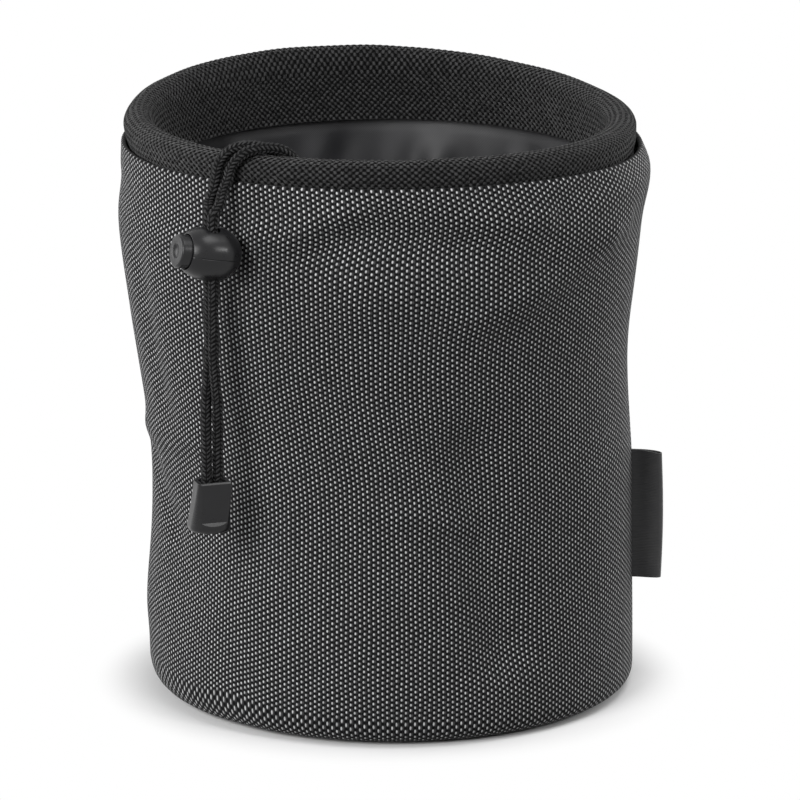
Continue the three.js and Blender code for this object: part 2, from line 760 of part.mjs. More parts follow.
// Section of the barrel: round at the back, narrowing to its mouth, with the bore and the spring's pocket
function barrelProfile() {
  const shell = [];
  const roundSteps = 5;
  for (let i = 0; i <= roundSteps; i++) {
    const angle = rad((90 * i) / roundSteps);
    shell.push([ballRadius * Math.sin(angle), -ballRadius * Math.cos(angle)]);
  }
  const narrowing = ballRadius - boreRadius - MOUTH_LIP;
  const longSteps = 5;
  for (let i = 1; i <= longSteps; i++) {
    const share = i / longSteps;
    shell.push([ballRadius - narrowing * share ** BARREL_CURVE, BARREL_LONG * share]);
  }
  const pocket = SPRING_RADIUS + SPRING_WIRE / 2 + GAP;
  return [
    ...shell,
    [boreRadius, BARREL_LONG],
    [boreRadius, boreFloor],
    [pocket, boreFloor],
    [pocket, pocketFloor],
    [0, pocketFloor],
  ];
}

// A turned profile whose axis is laid along +X
function turnedAlongX(profile, segments) {
  return turned(profile, segments).rotateY(Math.PI / 2);
}

// Barrel with a bore for the button, a pocket for the spring and an upright hole through it for both tails
function lockBarrel() {
  const tall = 2 * ballRadius + 4;
  const hole = pairSlot(cordRadius + GAP, slotHalf, tall).translate(0, 0, -tall / 2);
  hole.rotateY(rad(LOCK_TILT)).translate(cordPlace, 0, 0);
  return named("lock_barrel", cut(turnedAlongX(barrelProfile(), 24), hole), blackPlastic);
}

// Button: a plug with a slot for both tails and a dished end
function lockButton() {
  const edge = 0.9;
  const dish = buttonRadius - BUTTON_RING;
  const profile = [
    [0, buttonInner],
    [buttonRadius - 0.4, buttonInner],
    [buttonRadius, buttonInner + 0.4],
    ...arc(buttonRadius - edge, buttonOuter - edge, edge, 0, 90, 3),
    [dish, buttonOuter],
    [dish - 0.4, buttonOuter - BUTTON_RECESS],
    [0, buttonOuter - BUTTON_RECESS],
  ];
  const slot = new THREE.BoxGeometry(slotOuter - slotInner, 2 * slotHalf, 2 * buttonRadius + 4);
  slot.rotateY(rad(LOCK_TILT)).translate((slotOuter + slotInner) / 2, 0, 0);
  return named("lock_button", cut(turnedAlongX(profile, 24), slot), blackPlastic);
}

// Compression spring behind the button, one unbroken wire
function lockSpring() {
  const points = [];
  const start = pocketFloor + SPRING_WIRE / 2 + GAP / 3;
  const end = buttonInner - SPRING_WIRE / 2 - GAP / 3;
  const stepsPerTurn = 12;
  const count = SPRING_TURNS * stepsPerTurn;
  for (let i = 0; i <= count; i++) {
    const angle = (2 * Math.PI * i) / stepsPerTurn;
    const along = start + ((end - start) * i) / count;
    points.push(new THREE.Vector3(along, SPRING_RADIUS * Math.cos(angle), SPRING_RADIUS * Math.sin(angle)));
  }
  let least = Infinity;
  for (let i = 0; i + stepsPerTurn <= count; i++) {
    least = Math.min(least, points[i].distanceTo(points[i + stepsPerTurn]) - SPRING_WIRE);
  }
  console.log(`lock_spring: least gap between its turns ${least.toFixed(2)} mm`);
  return named("lock_spring", tube(points, SPRING_WIRE / 2, 6, count), springSteel);
}

function cordLock() {
  const lock = new THREE.Group();
  lock.add(lockBarrel(), lockButton(), lockSpring());
  lock.position.copy(ballCentre());
  lock.rotation.set(0, -rad(LOCK_TILT), rad(BUTTON_ANGLE), "ZYX");
  return lock;
}

function capBottom() {
  return pairAxis().z + HANGING[HANGING.length - 1][0] - CAP_TALL;
}

// A rectangle with round corners as a loop of points at a height, with its own size of corner at the front
function roundedLoop(halfWidth, frontDepth, backDepth, corner, frontCorner, height) {
  const loop = [];
  const steps = 4;
  const corners = [
    [halfWidth - corner, backDepth - corner, corner, 0],
    [corner - halfWidth, backDepth - corner, corner, 90],
    [frontCorner - halfWidth, frontCorner - frontDepth, frontCorner, 180],
    [halfWidth - frontCorner, frontCorner - frontDepth, frontCorner, 270],
  ];
  for (const [x, y, size, from] of corners) {
    for (let i = 0; i <= steps; i++) {
      const angle = rad(from + (90 * i) / steps);
      loop.push(new THREE.Vector3(x + size * Math.cos(angle), y + size * Math.sin(angle), height));
    }
  }
  return loop;
}

// What is taken off the cap's front above its ledge: flat down to a ramp that runs out to the ledge
function capFront(face, width) {
  const profile = new THREE.Shape();
  const high = CAP_TALL + 1;
  const out = face + 2 * CAP_RAMP + CAP_FLARE;
  profile.moveTo(-face, high);
  profile.lineTo(-face, CAP_LEDGE + CAP_RAMP);
  profile.quadraticCurveTo(-face, CAP_LEDGE, -face - CAP_RAMP, CAP_LEDGE);
  profile.lineTo(-out, CAP_LEDGE);
  profile.lineTo(-out, high);
  profile.closePath();
  const block = new THREE.ExtrudeGeometry(profile, { depth: width, bevelEnabled: false, curveSegments: 5 });
  return block.rotateX(Math.PI / 2).rotateZ(Math.PI / 2).translate(-width / 2, 0, 0);
}

// Cap that flares downwards, open at the top, with the wedge behind the tails
function cordEnd() {
  const hollowWidth = pairHalf + cordRadius + GAP;
  const hollowDepth = cordRadius + GAP;
  const topWidth = hollowWidth + CAP_WALL;
  const topDepth = hollowDepth + CAP_WALL;
  const edge = 0.5;
  const bow = (height) => CAP_CORNER + CAP_BOW * (1 - height / CAP_TALL);
  const outside = (grow, height) => {
    const uneven = Math.max(grow, 0) * (1 - CAP_SIDE);
    const loop = roundedLoop(
      topWidth + grow - uneven / 2,
      topDepth + grow + edge,
      topDepth + grow + WEDGE,
      CAP_CORNER,
      bow(height),
      height,
    );
    return loop.map((point) => point.setX(point.x - uneven / 2));
  };
  const inside = (back, height) =>
    roundedLoop(hollowWidth, hollowDepth, hollowDepth + back, 0.6, 0.6, height);
  const flare = (height) => CAP_FLARE * (1 - height / CAP_TALL) ** 1.3;
  const shell = loftGeometry([
    outside(flare(0) - 3 * edge, 0),
    outside(flare(edge) - edge, edge),
    outside(flare(3 * edge), 3 * edge),
    outside(flare(CAP_TALL / 2), CAP_TALL / 2),
    outside(flare(CAP_TALL - edge), CAP_TALL - edge),
    outside(-edge, CAP_TALL),
  ]);
  const hollow = loftGeometry([
    inside(WEDGE + GAP, CAP_FLOOR),
    inside(WEDGE + GAP, CAP_FLOOR + 1),
    inside(GAP, CAP_FLOOR + WEDGE_TALL + 2),
    inside(GAP, CAP_TALL + 1),
  ]);
  const profile = new THREE.Shape();
  const foot = CAP_FLOOR + GAP;
  profile.moveTo(hollowDepth, foot);
  profile.lineTo(hollowDepth + WEDGE, foot);
  profile.lineTo(hollowDepth + WEDGE, foot + 0.5);
  profile.lineTo(hollowDepth + 0.25, foot + WEDGE_TALL);
  profile.lineTo(hollowDepth, foot + WEDGE_TALL);
  profile.closePath();
  const wedgeWidth = 2 * (hollowWidth - GAP) - 0.6;
  const wedge = new THREE.ExtrudeGeometry(profile, { depth: wedgeWidth, bevelEnabled: false });
  wedge.rotateX(Math.PI / 2).rotateZ(Math.PI / 2).translate(-wedgeWidth / 2, 0, 0);
  const end = new THREE.Group();
  const front = capFront(topDepth, 4 * topWidth);
  end.add(named("cord_end_cap", cut(shell, hollow, front), blackPlastic));
  end.add(named("cord_end_wedge", wedge, blackPlastic));
  end.position.copy(pairAxis()).setZ(capBottom());
  end.rotation.z = rad(CAP_TURN);
  return end;
}

const bag = new THREE.Group();
bag.add(bodyPanel(), basePanel(), baseSeamBinding(), sideSeamBinding(), sideLabel());
bag.add(rimCollar(), closingSkirt(), drawcordRun());
bag.add(drawcordTail("drawcord_tail_left", LEFT_OVER_RIM, -1));
bag.add(drawcordTail("drawcord_tail_right", RIGHT_OVER_RIM, 1));
bag.add(cordLock(), cordEnd());

export default bag;
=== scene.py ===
"""Dresses the packed peg bag: woven wall, knit rim, nylon closing, braided drawcord and moulded cord lock."""

import math

import bpy
import numpy as np
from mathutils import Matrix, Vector


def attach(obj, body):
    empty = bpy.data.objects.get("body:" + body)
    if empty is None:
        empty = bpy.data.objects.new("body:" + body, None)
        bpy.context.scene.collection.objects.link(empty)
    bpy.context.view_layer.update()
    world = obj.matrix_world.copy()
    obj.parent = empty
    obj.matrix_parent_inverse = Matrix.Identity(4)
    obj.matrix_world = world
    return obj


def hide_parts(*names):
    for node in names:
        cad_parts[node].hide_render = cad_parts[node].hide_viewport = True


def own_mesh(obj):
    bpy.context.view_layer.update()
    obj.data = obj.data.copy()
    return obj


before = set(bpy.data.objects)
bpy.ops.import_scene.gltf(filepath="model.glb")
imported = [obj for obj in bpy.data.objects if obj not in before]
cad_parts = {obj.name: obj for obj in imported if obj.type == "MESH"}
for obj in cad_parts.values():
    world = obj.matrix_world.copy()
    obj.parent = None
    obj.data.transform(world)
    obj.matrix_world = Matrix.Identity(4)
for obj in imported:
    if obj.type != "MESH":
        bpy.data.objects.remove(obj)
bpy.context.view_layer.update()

bl_info = {
    "name": "Peg Bag",
    "version": (1, 0, 0),
    "blender": (4, 5, 0),
    "location": "View3D > Sidebar > Peg Bag",
    "description": "Adds the cloth, cords and cord lock of a round peg bag around its CAD frame",
    "category": "Add Mesh",
}

MM = 0.001

# Pixels along each side of the picture
FRAME = 800

# The bag's sizes in millimetres and degrees, as its CAD source gives them or works them out
GAP = 0.3
TAPE = 0.6
CLOTH = 1.2
BODY_HEIGHT = 172.5
TOP_RADIUS = 80
WAIST_RADIUS = 73.6
WAIST_HEIGHT = 62
FLARE_HEIGHT = 75
FOOT_RADIUS = 74.2
FOOT_ROUND = 10.5
FOOT_TALL = 8.6
FOOT_SAG = 2.6
BASE_RADIUS = 61
HEM_DEPTH = 9
HEM_DRAW = 1.4
LEAN = 3.5
LEAN_START = 66
LEAN_END = 118
LEAN_BACK = 1.9
LEAN_BACK_DROP = 12.5
LEAN_BACK_TALL = 9
SEAM_RISE = 8.5
SEAM_ANGLE = -4
SEAM_DEPTH = 5
SEAM_START = 20
SEAM_END = 150
TAIL_ANGLE = -124.5
LABEL_BOTTOM = 33
LABEL_TALL = 40.4
LABEL_STAND = 8.9
LABEL_TAIL = 0.8
LABEL_LOOP = 1.3
KNIT = 2.4
ROLL_THICK = 9.4
ROLL_RADIUS = 72.8
ROLL_HEIGHT = 174.5
ROLL_TALL = 5.5
WAVE_ONCE = (-1.2, 1.4)
WAVE_TWICE = (-1.3, -0.6)
LEAF_RADIUS = 75.6
LEAF_OUTER = 10
LEAF_BOTTOM = 160
NYLON = 0.8
SKIRT_LAP = 8
SKIRT_RADIUS = 66
SKIRT_FOLD = 1.8
SKIRT_FOLDS = 8
CASING_HEIGHT = 93
CASING_WRAP = 300
CASING_EASE = 0.9
CORD = 3.3
EXIT_HALF = 11
LOCK_REST = 0.5
LOCK_DROP = 22.9
LOCK_ALONG = 0.7
LOCK_TILT = 10
BUTTON_ANGLE = 204
BALL_RADIUS = 7.6
BARREL_LONG = 9.2
BORE_RADIUS = 5.3
BORE_FLOOR = -4
POCKET_RADIUS = 2.6
POCKET_FLOOR = -6.4
MOUTH_LIP = 0.35
BARREL_CURVE = 3.2
BUTTON_RADIUS = 5.0
BUTTON_INNER = -2
BUTTON_OUTER = 12.5
BUTTON_RING = 2.8
BUTTON_RECESS = 0.8
SLOT_INNER = -0.7
SLOT_OUTER = 4.9
CORD_PLACE = 1.25
PAIR_HALF = 1.8
CAP_TALL = 14.7
CAP_WALL = 1.0
CAP_FLOOR = 2.5
CAP_FLARE = 1.9
CAP_SIDE = 0.2
CAP_CORNER = 1.6
CAP_BOW = 3.5
CAP_LEDGE = 1.9
CAP_RAMP = 2.2
CAP_TURN = 17

# Sizes of the dressed pieces alone, or that depart from the CAD solids
CLOTH_SEEN = 0.7
SKIRT_THICK = 0.4
TAPE_WIDE = 14
LABEL_THICK = 0.4
FOOT_SQUARE = 0.75
FOOT_LIFT = 1.8
FOOT_LIFT_ANGLE = -131
FOOT_LIFT_WIDE = 7
HEM_DIP = 0.3
HEM_DIP_SIDES = 2.2
HEM_DIP_RIGHT = 1.5
BALL_SEEN = 8
HOLE_EASE = 0.2
PARTING_HEIGHT = -0.35
PARTING_DEEP = 0.13
CAP_DROP = 0.9
CAP_ROUND = 1.5
CAP_EDGE = 0.22
CAP_LEDGE_DROP = 0.6
CAP_BOW_LEFT = 1.9
CAP_BOW_RIGHT = 0.6
CAP_BLUNT_LEFT = 0.8
CAP_BLUNT_RIGHT = 0.25

# Soft dents and bulges of the wall: angle, height, depth, and half of its spread around and up
DENTS = (
    (176, 62, 0.6, 26, 26),
    (184, 112, 0.9, 24, 22),
    (182, 27, -1, 34, 16),
    (-148, 52, 1.8, 14, 34),
    (-96, 96, 1.2, 20, 34),
    (-52, 60, 1.6, 18, 30),
    (14, 108, 1.4, 16, 20),
    (78, 64, 1.8, 26, 32),
)

# Soft folds of the wall: height of the ridge, half of its width, and its way as angle and height
FOLDS = (
    (2.4, 4.5, (-117, 157), (-111, 156), (-105.5, 159.5), (-101, 163), (-97, 166)),
    (-2.8, 7.5, (-102, 156), (-93, 158), (-82, 156), (-74, 155)),
    (1.2, 5, (-72, 162), (-66, 161), (-55, 159)),
    (2.0, 11, (-92, 140), (-75, 139), (-58, 141)),
    (1.4, 5.5, (-69, 131), (-54, 138), (-42, 144), (-32, 149)),
    (-1.0, 4, (-35, 168), (-48.5, 162.5)),
    (1.4, 6, (-47, 151), (-36, 152), (-25, 151)),
    (-4.4, 10.5, (-70, 88), (-67, 57), (-62, 30)),
    (1.0, 3.5, (-88, 72), (-70, 66)),
    (1.2, 4.5, (-172, 83), (-155, 85), (-139, 88)),
    (-1.2, 5, (-168, 74), (-153.5, 55.5)),
    (-1.2, 6, (-156.5, 138), (-153.5, 96.5)),
)

# The tails over the rim, from the middle of the roll: out from the bag, along the rim, up
LEFT_OVER_RIM = (
    (-9.4, -13, -81.5),
    (-8.4, -9.8, -80.5),
    (-8.3, -8.2, -77.1),
    (-8.2, -7.6, -71),
    (-8, -5, -56),
    (-7.6, 0.4, -36),
    (-7.2, 7, -18),
    (-7, 11.2, -6),
    (-6.9, 12.2, 0),
    (-6, 10.8, 3.5),
    (-3.5, 7.4, 6.1),
    (0, 3, 7),
    (3.5, -0.2, 6.1),
    (5.8, -1.7, 3.9),
    (7, -2.5, 1.2),
    (8.2, -2.5, -1.8),
    (10.2, -2.6, -5.4),
    (12.6, -3, -8.6),
)
RIGHT_OVER_RIM = (
    (-9.4, 13, -81.5),
    (-8.4, 9.8, -80.5),
    (-8.3, 8.2, -77.1),
    (-8.2, 8, -71),
    (-8, 9, -56),
    (-7.6, 11.4, -36),
    (-7.2, 14.8, -18),
    (-7, 16.5, -6),
    (-6.9, 16.6, 0),
    (-6, 15.4, 3.5),
    (-3.5, 12.8, 6.1),
    (0, 8.5, 7),
    (3.5, 5, 6.1),
    (5.8, 3, 3.9),
    (7, 1.8, 1.2),
    (8.4, 1.5, -1.8),
    (11, 1, -5.2),
    (14.2, 1.4, -8.4),
)
# The hanging tails: height from the lock, and how far the pair has turned about each other
HANGING = (
    (11.5, 0),
    (6, 0),
    (0, 0),
    (-10, 0),
    (-20, 0),
    (-31, 0),
    (-38, 16),
    (-46, 48),
    (-54, 76),
    (-62, 88),
    (-69.1, 88),
)


# Plain geometry


def eased(start, end, value):
    share = np.clip((np.asarray(value, float) - start) / (end - start), 0, 1)
    return share * share * (3 - 2 * share)


def turn_between(a, b):
    return (np.asarray(a) - b + 540) % 360 - 180


def polar(radius, angle, height):
    turn = np.radians(angle)
    axes = np.broadcast_arrays(radius * np.cos(turn), radius * np.sin(turn), height)
    return np.stack(axes, -1).astype(float)


def about_z(points, degrees):
    turn = math.radians(degrees)
    spin = np.array(((math.cos(turn), -math.sin(turn), 0), (math.sin(turn), math.cos(turn), 0), (0, 0, 1)))
    return np.asarray(points, float) @ spin.T


def leaned(points):
    """Moves points with the lean of the bag's upper part."""
    height = points[:, 2]
    back = (height - BODY_HEIGHT + LEAN_BACK_DROP) / LEAN_BACK_TALL
    points[:, 0] += LEAN_BACK * np.exp(-back * back) - LEAN * eased(LEAN_START, LEAN_END, height)
    return points


def wall_radius(angle, height):
    """Radius of the wall's outer face."""
    upper = (TOP_RADIUS - WAIST_RADIUS) * eased(FLARE_HEIGHT, BODY_HEIGHT - HEM_DEPTH, height)
    lower = (FOOT_RADIUS - WAIST_RADIUS) * eased(WAIST_HEIGHT, FOOT_TALL, height)
    free = eased(FOOT_TALL, FOOT_TALL + 18, height) * eased(BODY_HEIGHT - 8, BODY_HEIGHT - 30, height)
    dented = 0
    for place, level, depth, wide, tall in DENTS:
        across = turn_between(angle, place) / wide
        up = (height - level) / tall
        dented = dented + depth * np.exp(-across * across - up * up)
    return WAIST_RADIUS + upper + lower - free * dented


def folded(angle, height):
    """How far the soft folds stand out of the wall."""
    place = np.stack((np.radians(turn_between(angle, -90)) * WAIST_RADIUS, height), -1)
    total = 0
    for stand, wide, *way in FOLDS:
        points = [np.array((math.radians(turn_between(a, -90)) * WAIST_RADIUS, z)) for a, z in way]
        near = np.inf
        for start, end in zip(points, points[1:]):
            along = end - start
            share = np.clip((place - start) @ along / (along @ along), 0, 1)
            near = np.minimum(near, np.linalg.norm(place - start - share[..., None] * along, axis=-1))
        total = total + stand * np.exp(-(near / wide) ** 2)
    free = eased(FOOT_TALL, FOOT_TALL + 14, height) * eased(BODY_HEIGHT - 3, BODY_HEIGHT - 7, height)
    return total * free * eased(8, 20, np.abs(turn_between(angle, SEAM_ANGLE)))


def roll_tall(angle):
    """Height of the roll from its widest place to its crest."""
    turn = np.radians(angle)
    once = WAVE_ONCE[0] * np.cos(turn) + WAVE_ONCE[1] * np.sin(turn)
    twice = WAVE_TWICE[0] * np.cos(2 * turn) + WAVE_TWICE[1] * np.sin(2 * turn)
    return ROLL_TALL + once + twice


def at_rim(points):
    """Points seen from the middle of the roll, where the tails come over it."""
    out, along, up = np.asarray(points, float).T
    angle = TAIL_ANGLE + np.degrees(along / ROLL_RADIUS)
    return leaned(polar(ROLL_RADIUS + out, angle, ROLL_HEIGHT + up))


def ball_centre():
    wall = float(wall_radius(TAIL_ANGLE, ROLL_HEIGHT - LOCK_DROP))
    return at_rim([(wall + BALL_RADIUS + LOCK_REST - ROLL_RADIUS, LOCK_ALONG, -LOCK_DROP)])[0]


def button_direction():
    lift = math.radians(LOCK_TILT)
    return polar(math.cos(lift), BUTTON_ANGLE, math.sin(lift))


def pair_axis():
    return ball_centre() + button_direction() * CORD_PLACE


def cap_bottom():
    return pair_axis()[2] + HANGING[-1][0] - CAP_TALL


def run_along(path):
    """Length of a path up to each of its points."""
    return np.concatenate(((0,), np.cumsum(np.linalg.norm(np.diff(path, axis=0), axis=1))))


def line_length(line):
    return float(run_along(line)[-1])


def spline(points, step):
    """A centripetal spline through the points, as points that are evenly spaced."""
    knots = np.asarray(points, float)
    knots = np.vstack((2 * knots[0] - knots[1], knots, 2 * knots[-1] - knots[-2]))
    line = []
    for p0, p1, p2, p3 in zip(knots, knots[1:], knots[2:], knots[3:]):
        t0 = 0
        t1 = t0 + np.linalg.norm(p1 - p0) ** 0.5
        t2 = t1 + np.linalg.norm(p2 - p1) ** 0.5
        t3 = t2 + np.linalg.norm(p3 - p2) ** 0.5
        t = np.linspace(t1, t2, 24, endpoint=False)[:, None]
        a1 = (t1 - t) / (t1 - t0) * p0 + (t - t0) / (t1 - t0) * p1
        a2 = (t2 - t) / (t2 - t1) * p1 + (t - t1) / (t2 - t1) * p2
        a3 = (t3 - t) / (t3 - t2) * p2 + (t - t2) / (t3 - t2) * p3
        b1 = (t2 - t) / (t2 - t0) * a1 + (t - t0) / (t2 - t0) * a2
        b2 = (t3 - t) / (t3 - t1) * a2 + (t - t1) / (t3 - t1) * a3
        line.append((t2 - t) / (t2 - t1) * b1 + (t - t1) / (t2 - t1) * b2)
    line = np.vstack((*line, knots[-2]))
    run = run_along(line)
    even = np.linspace(0, run[-1], max(int(round(run[-1] / step)), 2) + 1)
    return np.stack([np.interp(even, run, line[:, axis]) for axis in range(3)], -1)


def frames_along(line):
    """Two directions across a line at each point, carried along it without twist."""
    ahead = np.gradient(line, axis=0)
    ahead /= np.linalg.norm(ahead, axis=1)[:, None]
    side = np.cross(ahead[0], (0.3, 0.2, 1.0))
    sides = []
    for direction in ahead:
        side = side - direction * (side @ direction)
        side = side / np.linalg.norm(side)
        sides.append(side)
    sides = np.array(sides)
    return sides, np.cross(ahead, sides)


# Work on meshes


def deselect_all():
    if bpy.context.object and bpy.context.object.mode != "OBJECT":
        bpy.ops.object.mode_set(mode="OBJECT")
    bpy.ops.object.select_all(action="DESELECT")


def only(obj):
    deselect_all()
    bpy.context.view_layer.objects.active = obj
    obj.select_set(True)


def edit(obj):
    only(obj)
    bpy.ops.object.mode_set(mode="EDIT")


def done():
    bpy.ops.object.mode_set(mode="OBJECT")


def named_primitive(name, add, **settings):
    """Adds a primitive with nothing else selected."""
    deselect_all()
    add(**settings)
    obj = bpy.context.object
    obj.name = name
    obj.data.name = name
    return obj


def settle(obj):
    """Puts an object's place, turn and size into its mesh."""
    only(obj)
    bpy.ops.object.transform_apply(location=True, rotation=True, scale=True)


def vertex_places(obj):
    place = np.empty(len(obj.data.vertices) * 3, np.float32)
    obj.data.vertices.foreach_get("co", place)
    return place.reshape(-1, 3)


def move_vertices(obj, place):
    obj.data.vertices.foreach_set("co", np.asarray(place, np.float32).ravel())
    obj.data.update()


def flat_grid(name, columns, rows):
    """A flat grid to be wrapped, and where each vertex lies in it, across and along from 0 to 1."""
    obj = named_primitive(
        name, bpy.ops.mesh.primitive_grid_add, x_subdivisions=columns, y_subdivisions=rows, size=2
    )
    place = vertex_places(obj)
    return obj, (place[:, 0] + 1) / 2, (place[:, 1] + 1) / 2


def step_number(share, steps):
    """The row or column of a grid that lies at a share of the way."""
    return np.rint(share * steps).astype(int)


def lay_uv(obj, across, along):
    """Lays the piece's UV map as given for each vertex."""
    mesh = obj.data
    while mesh.uv_layers:
        mesh.uv_layers.remove(mesh.uv_layers[0])
    layer = mesh.uv_layers.new(name="cloth")
    corners = np.empty(len(mesh.loops), np.int32)
    mesh.loops.foreach_get("vertex_index", corners)
    both = np.column_stack((across[corners], along[corners])).astype(np.float32)
    layer.data.foreach_set("uv", both.ravel())


def wrap(obj, points_mm, across, along):
    """Moves a grid's vertices to points, and lays its UV map."""
    lay_uv(obj, across, along)
    move_vertices(obj, np.asarray(points_mm) * MM)


def weld(obj, fill=False, turn_out=False):
    """Joins a wrapped grid where it meets itself, and where asked closes its ends or turns its faces out."""
    edit(obj)
    bpy.ops.mesh.select_all(action="SELECT")
    bpy.ops.mesh.remove_doubles(threshold=1e-6)
    if fill:
        bpy.ops.mesh.fill_holes(sides=0)
    if turn_out:
        bpy.ops.mesh.normals_make_consistent(inside=False)
    done()


def apply_modifier(obj, kind, **settings):
    only(obj)
    modifier = obj.modifiers.new(kind.title(), kind)
    for name, value in settings.items():
        setattr(modifier, name, value)
    bpy.ops.object.modifier_apply(modifier=modifier.name)


def thicken(obj, thick_mm, even=True):
    apply_modifier(obj, "SOLIDIFY", thickness=thick_mm * MM, offset=0, use_even_offset=even)


def smooth_faces(obj, degrees=40):
    only(obj)
    bpy.ops.object.shade_smooth_by_angle(angle=math.radians(degrees))


def cut_with(obj, cutter):
    """Takes a cutter's shape out of an object and removes the cutter."""
    apply_modifier(obj, "BOOLEAN", operation="DIFFERENCE", solver="EXACT", object=cutter)
    bpy.data.objects.remove(cutter)


def finish_piece(obj, body, slot, material, *nodes):
    """Gives a piece its finish and its body, and hides the CAD nodes that it stands for."""
    obj.data.materials.clear()
    obj.data.materials.append(material)
    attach(obj, body)
    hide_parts(*nodes)


# Materials


class Finish:
    """A material under construction: adds nodes and joins them."""

    def __init__(self, name):
        self.material = bpy.data.materials.new(name)
        self.material.use_nodes = True
        self.tree = self.material.node_tree
        self.shader = self.tree.nodes["Principled BSDF"]

    def node(self, kind, **settings):
        made = self.tree.nodes.new(kind)
        for name, value in settings.items():
            setattr(made, name, value)
        return made

    def join(self, value, socket):
        if isinstance(value, bpy.types.NodeSocket):
            self.tree.links.new(value, socket)
        else:
            socket.default_value = value

    def math(self, operation, *values):
        made = self.node("ShaderNodeMath", operation=operation)
        for value, socket in zip(values, made.inputs):
            self.join(value, socket)
        return made.outputs[0]

    def ramp(self, value, low, high, to_low=0.0, to_high=1.0):
        made = self.node("ShaderNodeMapRange", interpolation_type="SMOOTHSTEP")
        for given, socket in zip((value, low, high, to_low, to_high), made.inputs):
            self.join(given, socket)
        return made.outputs[0]

    def mix(self, share, first, second):
        made = self.node("ShaderNodeMix", data_type="RGBA")
        self.join(share, made.inputs[0])
        self.join(first, made.inputs[6])
        self.join(second, made.inputs[7])
        return made.outputs[2]

    def cloth_uv(self):
        made = self.node("ShaderNodeUVMap", uv_map="cloth")
        parts = self.node("ShaderNodeSeparateXYZ")
        self.join(made.outputs[0], parts.inputs[0])
        return made.outputs[0], parts.outputs[0], parts.outputs[1]

    def object_place(self):
        return self.node("ShaderNodeTexCoord").outputs["Object"]

    def noise(self, place, scale, detail=2.0):
        made = self.node("ShaderNodeTexNoise")
        self.join(place, made.inputs["Vector"])
        made.inputs["Scale"].default_value = scale
        made.inputs["Detail"].default_value = detail
        return made.outputs["Fac"]

    def cell(self, first, second):
        """A steady random value for each pair of whole numbers."""
        both = self.node("ShaderNodeCombineXYZ")
        self.join(first, both.inputs[0])
        self.join(second, both.inputs[1])
        made = self.node("ShaderNodeTexWhiteNoise", noise_dimensions="2D")
        self.join(both.outputs[0], made.inputs["Vector"])
        return made.outputs["Value"]

    def wander(self, value, place, scale, reach):
        """A value that drifts by up to a reach to either side over the surface."""
        drift = self.math("MULTIPLY_ADD", self.noise(place, scale), 2 * reach, -reach)
        return self.math("ADD", value, drift)

    def from_middle(self, value):
        """How far a value lies from the middle between two whole numbers."""
        return self.math("SUBTRACT", self.math("FRACT", value), 0.5)

    def distance(self, across, up):
        squares = [self.math("MULTIPLY", side, side) for side in (across, up)]
        return self.math("SQRT", self.math("ADD", *squares))

    def spot(self, aside, above, wide, tall, shift=0.0):
        """A soft round patch of a given half width and height in a cell, moved aside by a shift."""
        across = self.math("DIVIDE", self.math("SUBTRACT", aside, shift), wide)
        up = self.math("DIVIDE", above, tall)
        return self.ramp(self.distance(across, up), 1.1, 0.3)

    def bump(self, height, distance, strength=1.0):
        made = self.node("ShaderNodeBump")
        self.join(height, made.inputs["Height"])
        made.inputs["Distance"].default_value = distance
        made.inputs["Strength"].default_value = strength
        self.join(made.outputs[0], self.shader.inputs["Normal"])

    def set(self, **values):
        """Sets or joins the shader's own sockets, by their names with underscores."""
        for name, value in values.items():
            self.join(value, self.shader.inputs[name.replace("_", " ")])

    def scaled(self, colour, share):
        """A colour times a value that changes over the surface."""
        return self.mix(share, (0, 0, 0, 1), colour)


def rgba(colour):
    return (*colour, 1)


